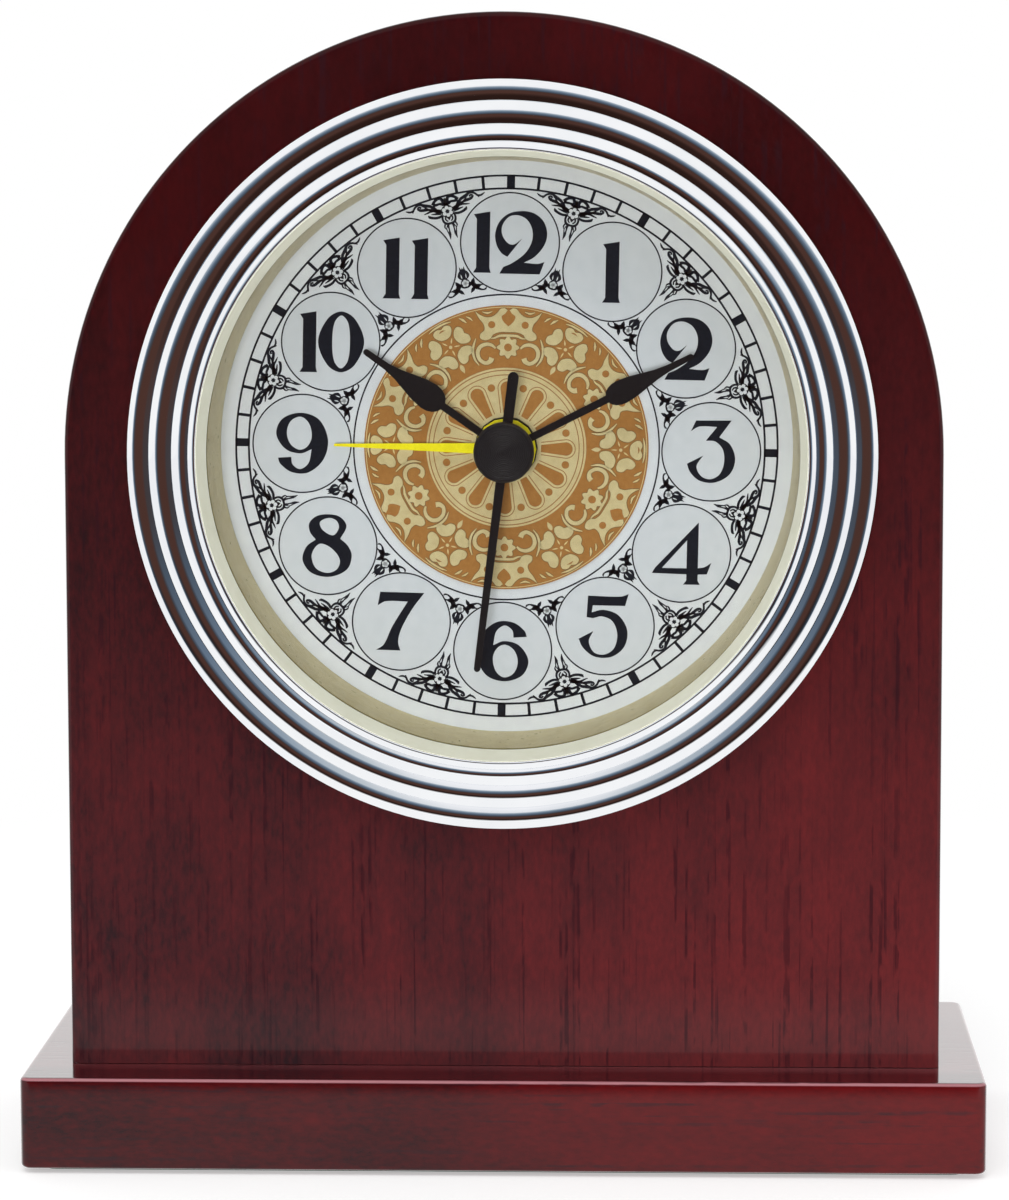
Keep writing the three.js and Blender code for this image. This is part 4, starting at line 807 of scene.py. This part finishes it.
DIGITS["6"] = [[(-x, -y, *kind) for x, y, *kind in loop] for loop in DIGITS["9"]]
DIGIT_PLACES = {"10": (-3.0, 1.46), "11": (-2.0, 2.0), "12": (-3.76, 1.53)}
numerals = Form()
upright = swung(0, 0)
for hour in range(1, HOURS + 1):
    text = str(hour)
    middle = Vector(swung(hour * HOUR_ANGLE, CARTOUCHE_AT)(0, 0))
    for digit, shift in zip(text, DIGIT_PLACES.get(text, (0,))):
        loops = [smooth_path(loop, True) for loop in DIGITS[digit]]
        plate(numerals, [[tuple(middle + Vector(upright(shift + x, y))) for x, y in loop] for loop in loops],
              ink_back, ink_front)
piece("dial_numerals", numerals, "case", DIAL_INK)

# Leafy sprays between the circles, in black with white slits and flowers; one half is listed and mirrored
sprays = Form()
slits = Form()
slit_front = ink_front + INK
SIDES = (-1, 1)


def mirrored(spot, knots):
    half = smooth_path(knots, False)
    return [spot(u, v) for u, v in half] + [spot(-u, v) for u, v in reversed(half[1:-1])]


def spray(spot, strands, leaves, cuts):
    for side in SIDES:
        for knots, widths in strands:
            soft_stroke(sprays, [spot(side * u, v) for u, v in knots], widths, ink_back, ink_front)
        for form, front, blades in ((sprays, ink_front, leaves), (slits, slit_front, cuts)):
            for (u, v), (end_u, end_v), width in blades:
                leaf(form, spot(side * u, v), spot(side * end_u, end_v), width, ink_back, front)


def small_flower(spot, at, ground_radius, count, reach, size):
    x, y = spot(0, at)
    dot(sprays, x, y, ground_radius, ink_back, ink_front)
    for step in range(count):
        angle = TURN * step / count
        x, y = spot(reach * math.sin(angle), at + reach * math.cos(angle))
        dot(slits, x, y, size, ink_back, slit_front, SMALL_STEPS)


OUTER_STRANDS = [
    ([(0.8, 0.25), (1.35, 0.4), (1.85, 0.85), (2.4, 1.2), (3.0, 1.62), (3.6, 1.9), (4.25, 1.7), (4.65, 1.25),
      (4.8, 0.98)],
     [0.4, 0.5, 0.75, 0.9, 0.5, 0.32, 0.3, 0.28, 0.14]),
    ([(2.2, 1.0), (3.0, 1.02), (3.65, 1.12), (3.95, 1.4), (3.7, 1.58), (3.45, 1.4)],
     [0.5, 0.42, 0.4, 0.3, 0.24, 0.3]),
    ([(4.55, 1.35), (5.0, 1.2), (5.35, 1.28), (5.7, 1.45)], [0.2, 0.28, 0.26, 0.1]),
    ([(0.3, 1.0), (0.32, 1.7), (0.6, 2.08), (1.05, 2.06), (1.5, 1.8), (1.8, 1.4)],
     [0.55, 0.5, 0.4, 0.38, 0.42, 0.5]),
    ([(1.8, 1.35), (1.3, 1.32), (0.8, 1.35), (0.45, 1.2)], [0.5, 0.36, 0.32, 0.4]),
    ([(0.9, 0.3), (1.5, 0.55), (2.2, 0.62), (2.8, 0.5), (3.3, 0.42)], [0.55, 0.42, 0.3, 0.24, 0.1]),
    ([(0.85, -0.35), (1.5, -0.46), (2.1, -0.36), (2.62, -0.12), (2.75, 0.15)], [0.35, 0.36, 0.36, 0.4, 0.14]),
    ([(0.9, 0.05), (1.6, 0.1), (2.3, 0.2)], [0.45, 0.3, 0.12]),
    ([(0.8, -0.25), (0.92, -0.85), (0.75, -1.35), (0.4, -1.58), (0.0, -1.62)], [0.3, 0.3, 0.34, 0.36, 0.32]),
    ([(0.4, -0.5), (0.5, -0.95), (0.22, -1.3)], [0.3, 0.22, 0.2]),
    ([(0.7, -1.5), (0.88, -1.95), (0.72, -2.35)], [0.24, 0.22, 0.08]),
    ([(0.3, -1.6), (0.5, -2.3), (0.42, -3.1), (0.5, -3.8)], [0.3, 0.5, 0.4, 0.08]),
]
OUTER_LEAVES = [
    ((0.0, -0.4), (0.0, -1.15), 0.55),
    ((0.0, 0.7), (0.0, 1.5), 0.8),
]
OUTER_CUTS = [
    ((0.0, 1.25), (0.0, 2.15), 0.42),
    ((0.75, 1.66), (1.35, 1.68), 0.26),
    ((2.15, 1.02), (2.75, 1.3), 0.12),
    ((0.55, -2.05), (0.5, -2.75), 0.14),
]
INNER_STRANDS = [
    ([(0.6, 0.3), (1.0, 0.1), (1.3, -0.35), (1.75, -0.8), (2.2, -1.02), (2.6, -0.98), (2.75, -0.78)],
     [0.35, 0.65, 0.7, 0.32, 0.2, 0.26, 0.14]),
    ([(1.9, -0.3), (2.35, -0.32), (2.7, -0.5)], [0.22, 0.14, 0.08]),
    ([(0.75, 0.1), (0.4, -0.16), (0.0, -0.24)], [0.2, 0.18, 0.16]),
]
INNER_LEAVES = [
    ((0.85, -0.05), (1.35, 0.92), 0.6),
    ((1.0, -0.42), (2.25, -0.28), 0.6),
    ((1.2, -0.3), (0.45, -1.1), 0.5),
]
INNER_CUTS = [((0.3, 1.1), (0.36, 1.75), 0.14)]
BUD = [(0.0, 0.85), (0.5, 1.0, ROUND), (0.84, 1.45, ROUND), (0.68, 1.95, ROUND), (0.42, 2.25, ROUND),
       (0.34, 2.85), (0.14, 2.4), (0.0, 2.6)]
for gap in range(HOURS):
    between = (gap + 0.5) * HOUR_ANGLE
    outer_spot = swung(between, OUTER_FLORAL_AT)
    inner_spot = swung(between, INNER_FLORAL_AT)
    spray(outer_spot, OUTER_STRANDS, OUTER_LEAVES, OUTER_CUTS)
    small_flower(outer_spot, at=0.12, ground_radius=0.9, count=6, reach=0.52, size=0.27)
    spray(inner_spot, INNER_STRANDS, INNER_LEAVES, INNER_CUTS)
    small_flower(inner_spot, at=0.4, ground_radius=0.66, count=5, reach=0.27, size=0.25)
    plate(sprays, [mirrored(inner_spot, BUD)], ink_back, ink_front)
piece("dial_sprays", sprays, "case", DIAL_INK)
piece("dial_spray_flowers", slits, "case", DIAL_PAINT)

# Gold disc in the middle: an orange printed ground with brushed gold motifs
ground = Form()
band(ground, DIAL_HOLE, DISC_RADIUS, DISC_BACK, DISC_FRONT - INK)
piece("disc_ground", ground, "case", ORANGE_PRINT, ["dial_centre_disc"])
gild_back = DISC_FRONT - 2 * INK
gild_front = DISC_FRONT - INK / 2
edge_front = DISC_FRONT - 0.75 * INK
mark_front = DISC_FRONT
gilding = Form()
edges = Form()
marks = Form()
ROSETTE_RADIUS = 11.25
ROSETTE_LINES = ((10.9, 0.15), (10.25, 0.13))
PETAL_GAP = 0.36
PETAL_LINE = 0.12
PETAL_DOT_AT = 8.65
PETAL_DOT = 0.53
band(gilding, DIAL_HOLE, ROSETTE_RADIUS, gild_back, gild_front)
for radius, line in ROSETTE_LINES:
    band(marks, radius - line / 2, radius + line / 2, gild_back, mark_front)


def petal_outline(spot, grow):
    inner = 4.9
    outer = 9.35 + grow
    low_half = 0.5 + grow
    high_half = 0.95 + grow
    centre = outer - high_half
    path = [spot(-low_half, inner), spot(low_half, inner)]
    for step in range(DOT_STEPS + 1):
        angle = math.pi * step / DOT_STEPS
        path.append(spot(high_half * math.cos(angle), centre + high_half * math.sin(angle)))
    return path


for hour in range(HOURS):
    spot = swung(hour * HOUR_ANGLE, 0)
    plate(marks, [petal_outline(spot, 0)], gild_back, mark_front)
    first, *line = petal_outline(spot, PETAL_GAP)
    line.append(first)
    stroke(marks, line, [PETAL_LINE] * len(line), gild_back, mark_front)
    x, y = swung((hour + 0.5) * HOUR_ANGLE, PETAL_DOT_AT)(0, 0)
    dot(marks, x, y, PETAL_DOT, gild_back, mark_front)


RING_RADIUS = 1.38
RING_WAVE = 0.2
RING_LOBES = 8
RING_STEPS = 96


def ring_flower(spot):
    path = []
    for step in range(RING_STEPS):
        angle = TURN * step / RING_STEPS
        reach = RING_RADIUS + RING_WAVE * math.cos(RING_LOBES * angle)
        path.append(spot(reach * math.sin(angle), reach * math.cos(angle)))
    return path


EDGE_LINE = 0.12


def gild_plate(path):
    plate(gilding, [path], gild_back, gild_front)
    around = [path[-1], *path, path[0]]
    stroke(edges, around, [2 * EDGE_LINE] * len(around), gild_back, edge_front)


def gild_strand(spot, knots, widths):
    for side in SIDES:
        path = [spot(side * u, v) for u, v in knots]
        soft_stroke(gilding, path, widths, gild_back, gild_front)
        soft_stroke(edges, path, [width + 2 * EDGE_LINE for width in widths], gild_back, edge_front)


def turned_spot(spot, angle, lift):
    across = math.cos(angle)
    along = math.sin(angle)
    return lambda u, v: spot(u * across + v * along, lift + v * across - u * along)


SECTORS = 6
SECTOR_ANGLE = 360 / SECTORS
FLOWER_AT = 15.8
FLOWER_PETALS = 5
FLOWER_LIFT = 0.3
FLOWER_EYE = 0.24
SCROLL_AT = 14.1
SCROLL_EYE = 0.55
FAN_SPOT = (2.35, 3.15)
FAN_DOT = 0.5
PETAL = [(0.0, 1.25), (0.7, 1.42, ROUND), (1.28, 2.1, ROUND), (1.3, 2.7, ROUND), (0.68, 3.02, ROUND),
         (0.0, 2.78)]
FLOWER_STRANDS = [
    ([(1.75, 3.42), (0.9, 3.6), (0.0, 3.65)], [0.08, 0.24, 0.28]),
    ([(3.0, 3.3), (3.35, 2.8), (3.6, 2.25)], [0.1, 0.34, 0.12]),
    ([(4.0, 3.0), (4.3, 2.6), (4.5, 2.1)], [0.1, 0.26, 0.1]),
]
DISC_STRANDS = [
    ([(1.75, -0.15), (2.3, 0.28), (3.1, 0.38), (3.9, 0.0), (4.25, -0.8), (3.95, -1.75), (3.1, -2.25),
      (2.45, -1.95), (2.25, -1.5)],
     [0.25, 0.42, 0.5, 0.55, 0.55, 0.5, 0.5, 0.65, 0.75]),
    ([(4.55, 1.15), (4.85, 0.1), (4.9, -0.8), (4.6, -1.8), (4.0, -2.6)], [0.12, 0.3, 0.34, 0.3, 0.1]),
    ([(0.0, 1.66), (1.2, 1.6), (1.9, 1.3), (2.4, 1.22)], [0.34, 0.34, 0.24, 0.1]),
    ([(2.3, 4.98), (3.0, 4.76), (3.7, 4.92)], [0.08, 0.28, 0.08]),
]
FAN = [(0.0, 2.15), (1.2, 2.12, ROUND), (2.1, 1.78, ROUND), (2.5, 1.2, ROUND), (3.2, 0.95, ROUND),
       (3.9, 1.2, ROUND), (3.9, 1.8, ROUND), (3.35, 2.4, ROUND), (3.5, 3.2, ROUND), (4.1, 3.95, ROUND),
       (4.7, 4.95), (4.05, 4.5, ROUND), (3.2, 4.18, ROUND), (2.3, 4.28, ROUND), (1.65, 4.75, ROUND),
       (1.1, 5.4, ROUND), (0.55, 5.5), (0.0, 5.1)]
SPADE = [(0.0, 5.4), (0.25, 5.05, ROUND), (0.5, 4.72, ROUND), (0.95, 4.35, ROUND), (0.82, 3.8, ROUND),
         (0.4, 3.3, ROUND), (0.0, 2.95)]
for sector in range(SECTORS):
    flower = swung((sector + 0.5) * SECTOR_ANGLE, FLOWER_AT)
    for step in range(FLOWER_PETALS):
        gild_plate(mirrored(turned_spot(flower, TURN * step / FLOWER_PETALS, FLOWER_LIFT), PETAL))
        between = turned_spot(flower, TURN * (step + 0.5) / FLOWER_PETALS, FLOWER_LIFT)
        leaf(gilding, between(0, 0.5), between(0, 1.35), 0.2, gild_back, gild_front)
    x, y = flower(0, FLOWER_LIFT)
    dot(gilding, x, y, FLOWER_EYE, gild_back, gild_front)
    leaf(gilding, flower(0, -2.5), flower(0, -3.85), 0.62, gild_back, gild_front)
    leaf(marks, flower(-0.5, 2.72), flower(0.5, 2.72), 0.22, gild_back, mark_front, bend=0.12)
    for knots, widths in FLOWER_STRANDS:
        gild_strand(flower, knots, widths)
    scroll = swung(sector * SECTOR_ANGLE, SCROLL_AT)
    gild_plate(ring_flower(scroll))
    x, y = scroll(0, 0)
    dot(marks, x, y, SCROLL_EYE, gild_back, mark_front)
    for knots, widths in DISC_STRANDS:
        gild_strand(scroll, knots, widths)
    gild_plate(mirrored(scroll, FAN))
    plate(marks, [mirrored(scroll, SPADE)], gild_back, mark_front)
    for side in SIDES:
        x, y = scroll(side * FAN_SPOT[0], FAN_SPOT[1])
        dot(marks, x, y, FAN_DOT, gild_back, mark_front)
RIM_AT = 19.75
HALF_RIM = 0.05
band(gilding, RIM_AT - HALF_RIM, RIM_AT + HALF_RIM, gild_back, gild_front)
piece("disc_gilding", gilding, "case", GILDING)
piece("disc_edges", edges, "case", BROWN_PRINT)
piece("disc_marks", marks, "case", ORANGE_PRINT)

# Cap of the second hand, with fine turned rings
CAP_FOOT = 0.1
CAP_ROUND = 0.45
CAP_RINGS = 14
CAP_STEPS = 96
RING_DEPTH = 0.05
cap_front = CAP_BACK + CAP_HEIGHT
cap_profile = [(CAP_RADIUS - CAP_FOOT, CAP_BACK), (CAP_RADIUS, CAP_BACK + CAP_FOOT)]
cap_profile += [(CAP_RADIUS - inset, cap_front - drop) for inset, drop in quarter(CAP_ROUND)]
ring_pitch = (CAP_RADIUS - CAP_ROUND) / (CAP_RINGS + 1)
for step in range(1, 4 * CAP_RINGS):
    level = cap_front - RING_DEPTH * (0.5 - 0.5 * math.cos(TURN * step / 4))
    cap_profile.append((CAP_RADIUS - CAP_ROUND - ring_pitch * step / 4, level))
cap = Form()
turned(cap, cap_profile, False, CAP_STEPS)
piece("second_cap", cap, "second", BLACK_PAINT, ["second_hand_cap"])


# Fluted setting knobs at the back, each with a blind bore for its shaft and a dished end
def node_place(name):
    points = [point.co / MM for point in frame["nodes"][name].data.vertices]
    spans = zip(*((point.x, point.z - CENTRE_Z, FACE_Y - point.y) for point in points))
    (left, right), (low, high), (back, front) = [(min(values), max(values)) for values in spans]
    return ((left + right) / 2, (low + high) / 2), back, front


KNOB_RADIUS = 4.4
KNOB_FLUTES = 12
FLUTE_DEPTH = 0.35
KNOB_STEPS = 16 * KNOB_FLUTES
KNOB_END = 1.0
KNOB_BORE = 1.0
KNOB_FOOT = 0.2
KNOB_EDGE = 0.5
KNOB_RIM = 0.7
KNOB_DISH = 0.4


def fluted(at, inset, depth, w):
    loop = []
    for step in range(KNOB_STEPS):
        angle = TURN * step / KNOB_STEPS
        radius = KNOB_RADIUS - inset - depth * (1 - math.cos(KNOB_FLUTES * angle)) / 2
        loop.append((at[0] + radius * math.cos(angle), at[1] + radius * math.sin(angle), w))
    return loop


def setting_knob(node, body):
    at, back, front = node_place(node)
    loops = [
        circle(KNOB_BORE, back + KNOB_END, KNOB_STEPS, at),
        circle(KNOB_BORE, front, KNOB_STEPS, at),
        fluted(at, KNOB_FOOT, FLUTE_DEPTH, front),
        fluted(at, 0, FLUTE_DEPTH, front - KNOB_FOOT),
    ]
    for step, (inset, drop) in enumerate(quarter(KNOB_EDGE)):
        loops.append(fluted(at, inset, FLUTE_DEPTH * (1 - step / EDGE_STEPS), back + drop))
    inner = KNOB_EDGE + KNOB_RIM
    for inset, level in ((0, 0), (KNOB_DISH / 2, KNOB_DISH / 2), (1.5 * KNOB_DISH, KNOB_DISH)):
        loops.append(fluted(at, inner + inset, 0, back + level))
    form = Form()
    loft(form, loops, False)
    piece("fluted_" + node, form, body, BLACK_PLASTIC, [node])


setting_knob("time_knob", "time_setting")
setting_knob("alarm_knob", "alarm_setting")

# Cover screws: a shank under a head of two rounded halves that leave a slot
SCREW_RADIUS = 0.9
SCREW_TIP = 0.5
SCREW_STEPS = 64
HEAD_RADIUS = 1.9
HEAD_HEIGHT = 1.1
HEAD_EDGE = 0.45
HALF_SLOT = 0.25
HALF_STEPS = 32


def half_head(at, side, inset, w):
    radius = HEAD_RADIUS - inset
    first = math.asin(HALF_SLOT / radius)
    loop = []
    for step in range(HALF_STEPS + 1):
        angle = first + (math.pi - 2 * first) * step / HALF_STEPS
        loop.append((at[0] + radius * math.cos(angle), at[1] + side * radius * math.sin(angle), w))
    return loop


for corner in range(1, 5):
    at, back, tip = node_place(f"cover_screw_{corner}")
    screw = Form()
    turned(screw, [
        (SCREW_TIP, tip),
        (SCREW_RADIUS, tip - SCREW_TIP),
        (SCREW_RADIUS, back + HEAD_HEIGHT),
        (HEAD_RADIUS, back + HEAD_HEIGHT),
        (HEAD_RADIUS, back + HEAD_HEIGHT / 2),
    ], False, SCREW_STEPS, at)
    for side in SIDES:
        loops = [half_head(at, side, 0, back + HEAD_HEIGHT / 2)]
        loops += [half_head(at, side, inset, back + drop) for inset, drop in quarter(HEAD_EDGE)]
        loft(screw, loops, False)
    piece(f"turned_screw_{corner}", screw, "case", STEEL, [f"cover_screw_{corner}"])

# Camera where the photograph was taken from
CAMERA_AT = Vector((0.02325, -0.6170, 0.14373))
CAMERA_YAW = -0.0384
CAMERA_PITCH = -0.1081
CAMERA_ROLL = -0.0024
CAMERA_LENS = 131.15
ahead = Vector((
    math.sin(CAMERA_YAW) * math.cos(CAMERA_PITCH),
    math.cos(CAMERA_YAW) * math.cos(CAMERA_PITCH),
    math.sin(CAMERA_PITCH),
))
level_right = Vector((math.cos(CAMERA_YAW), -math.sin(CAMERA_YAW), 0))
level_up = level_right.cross(ahead)
right = level_right * math.cos(CAMERA_ROLL) + level_up * math.sin(CAMERA_ROLL)
up = level_up * math.cos(CAMERA_ROLL) - level_right * math.sin(CAMERA_ROLL)
camera = bpy.data.objects.new("camera", bpy.data.cameras.new("camera"))
camera.data.lens = CAMERA_LENS
camera.data.sensor_width = 36
camera.data.sensor_fit = "AUTO"
camera.data.clip_start = 0.01
camera.matrix_world = Matrix((
    (right.x, up.x, -ahead.x, CAMERA_AT.x),
    (right.y, up.y, -ahead.y, CAMERA_AT.y),
    (right.z, up.z, -ahead.z, CAMERA_AT.z),
    (0, 0, 0, 1),
))
bpy.context.scene.collection.objects.link(camera)
bpy.context.scene.camera = camera

# White surroundings: full white where they are seen, and a plain level where they light
WHITE = (1, 1, 1, 1)
SKY_LIGHT = 0.65
world = bpy.data.worlds.new("studio")
bpy.context.scene.world = world
world.use_nodes = True
sky = Nodes(world.node_tree)
sky.tree.nodes.clear()
sky_path = sky.node("LightPath")
seen = sky_path.outputs["Is Camera Ray"]
for ray in ("Is Glossy Ray", "Is Transmission Ray"):
    seen = sky.math("MAXIMUM", seen, sky_path.outputs[ray])
levels = []
for strength in (SKY_LIGHT, 1):
    level = sky.node("Background")
    level.inputs["Color"].default_value = WHITE
    level.inputs["Strength"].default_value = strength
    levels.append(level.outputs[0])
sky.join(sky.mix(seen, *levels), sky.node("OutputWorld").inputs["Surface"])


def stage_sheet(name, rows, material):
    mesh = bpy.data.meshes.new(name)
    width = len(rows[0])
    faces = [
        (r * width + c, r * width + c + 1, (r + 1) * width + c + 1, (r + 1) * width + c)
        for r in range(len(rows) - 1) for c in range(width - 1)
    ]
    mesh.from_pydata([point for row in rows for point in row], [], faces)
    mesh.materials.append(material)
    mesh.shade_smooth()
    made = bpy.data.objects.new(name, mesh)
    bpy.context.scene.collection.objects.link(made)
    return made


# Floor: white, with the object's shadow where it is seen directly
FLOOR_REACH = 6
FLOOR_TONE = 0.86
FLOOR_GLOW = 0.4
SHADOW_NEAR = 0.1
SHADOW_FAR = 0.3
floor = Look("white_floor", base_color=(FLOOR_TONE, FLOOR_TONE, FLOOR_TONE, 1), roughness=0.9,
             specular_ior_level=0.0, emission_color=WHITE, emission_strength=FLOOR_GLOW)
floor_reach = floor.node("VectorMath", operation="LENGTH")
floor.join(floor.node("TexCoord").outputs["Object"], floor_reach.inputs[0])
floor_fade = floor.spread(floor_reach.outputs["Value"], SHADOW_NEAR, SHADOW_FAR)
floor_path = floor.node("LightPath")
floor_seen = floor.math("MULTIPLY", floor_fade, floor_path.outputs["Is Camera Ray"])
for ray in ("Is Glossy Ray", "Is Transmission Ray"):
    floor_seen = floor.math("MAXIMUM", floor_seen, floor_path.outputs[ray])
floor.surface(floor.mix(floor_seen, floor.shader.outputs[0], floor.node("Emission").outputs[0]))
stage_sheet("floor", [[(-FLOOR_REACH, y, 0), (FLOOR_REACH, y, 0)] for y in (-FLOOR_REACH, FLOOR_REACH)],
            floor.material)

# Dark sheet in front that only reflections see; it starts beyond the near floor, pales upwards and sideways
SHEET_HALF = 1.19
SHEET_PROFILE = [(-0.09, 0.002), (-0.18, 0.002), (-0.3, 0.002), (-0.55, 0.002), (-0.8, 0.01), (-0.95, 0.06),
                 (-1.0, 0.2), (-1.0, 0.4), (-1.0, 0.6), (-1.0, 0.8), (-1.0, 0.92)]
SHEET_FOOT = 0.1
SHEET_RISE = 0.68
SHEET_FLANK = 5
SHEET_FADE = (-0.1, -0.14)
SHEET_DIM = (-0.14, -0.4, 0.25, 1)
SHEET_BRIGHT = (0.4, 0.8)
SHEET_TONES = [(0.0, (78, 52, 45)), (0.08, (66, 60, 62)), (0.25, (76, 88, 102)), (0.5, (104, 120, 138)),
               (0.75, (150, 164, 178)), (0.9, (196, 204, 210)), (1.0, (250, 250, 252))]
sheet = Look("dark_sheet")
sheet_depth = sheet.axis("Y")
sheet_up = sheet.spread(sheet.axis("Z"), SHEET_FOOT, SHEET_FOOT + SHEET_RISE)
sheet_slant = sheet.math("DIVIDE", sheet.axis("X"), sheet_depth)
sheet_side = sheet.math("ABSOLUTE", sheet.math("MULTIPLY", sheet_slant, 1 / SHEET_HALF), 0)
sheet_side = sheet.math("POWER", sheet_side, SHEET_FLANK)
sheet_squares = [sheet.math("MULTIPLY", share, share) for share in (sheet_up, sheet_side)]
sheet_reach = sheet.math("SQRT", sheet.math("ADD", *sheet_squares), 0)
sheet_ramp = sheet.node("ValToRGB")
sheet.join(sheet_reach, sheet_ramp.inputs[0])
stops = sheet_ramp.color_ramp.elements
while len(stops) < len(SHEET_TONES):
    stops.new(0.5)
for stop, (place, tone) in zip(stops, SHEET_TONES):
    stop.position = place
    stop.color = linear(*tone)
sheet_strength = sheet.math(
    "MAXIMUM", sheet.spread(sheet_depth, *SHEET_DIM), sheet.spread(sheet_reach, *SHEET_BRIGHT))
sheet_glow = sheet.node("Emission")
sheet.join(sheet_ramp.outputs[0], sheet_glow.inputs["Color"])
sheet.join(sheet_strength, sheet_glow.inputs["Strength"])
sheet_cover = sheet.spread(sheet_depth, *SHEET_FADE)
sheet.surface(sheet.mix(sheet_cover, sheet.node("BsdfTransparent").outputs[0], sheet_glow.outputs[0]))
screen = stage_sheet("dark_sheet", [[(-SHEET_HALF, y, z), (SHEET_HALF, y, z)] for y, z in SHEET_PROFILE],
                     sheet.material)
screen.visible_camera = False
screen.visible_diffuse = False
screen.visible_shadow = False


# Soft studio lamps, which light without showing in reflections
def lamp(name, at, target, size, power):
    light = bpy.data.lights.new(name, "AREA")
    light.shape = "DISK"
    light.size = size
    light.energy = power
    made = bpy.data.objects.new(name, light)
    made.location = at
    made.rotation_euler = (Vector(target) - Vector(at)).to_track_quat("-Z", "Y").to_euler()
    made.visible_glossy = False
    made.visible_transmission = False
    bpy.context.scene.collection.objects.link(made)


LAMP_TARGET = (0, 0, 0.09)
lamp("key", (-0.15, -1.4, 1.8), LAMP_TARGET, size=1.2, power=11)
lamp("front", (-0.06, -1.6, 0.03), LAMP_TARGET, size=0.4, power=27)

bpy.context.scene.view_settings.view_transform = "Standard"
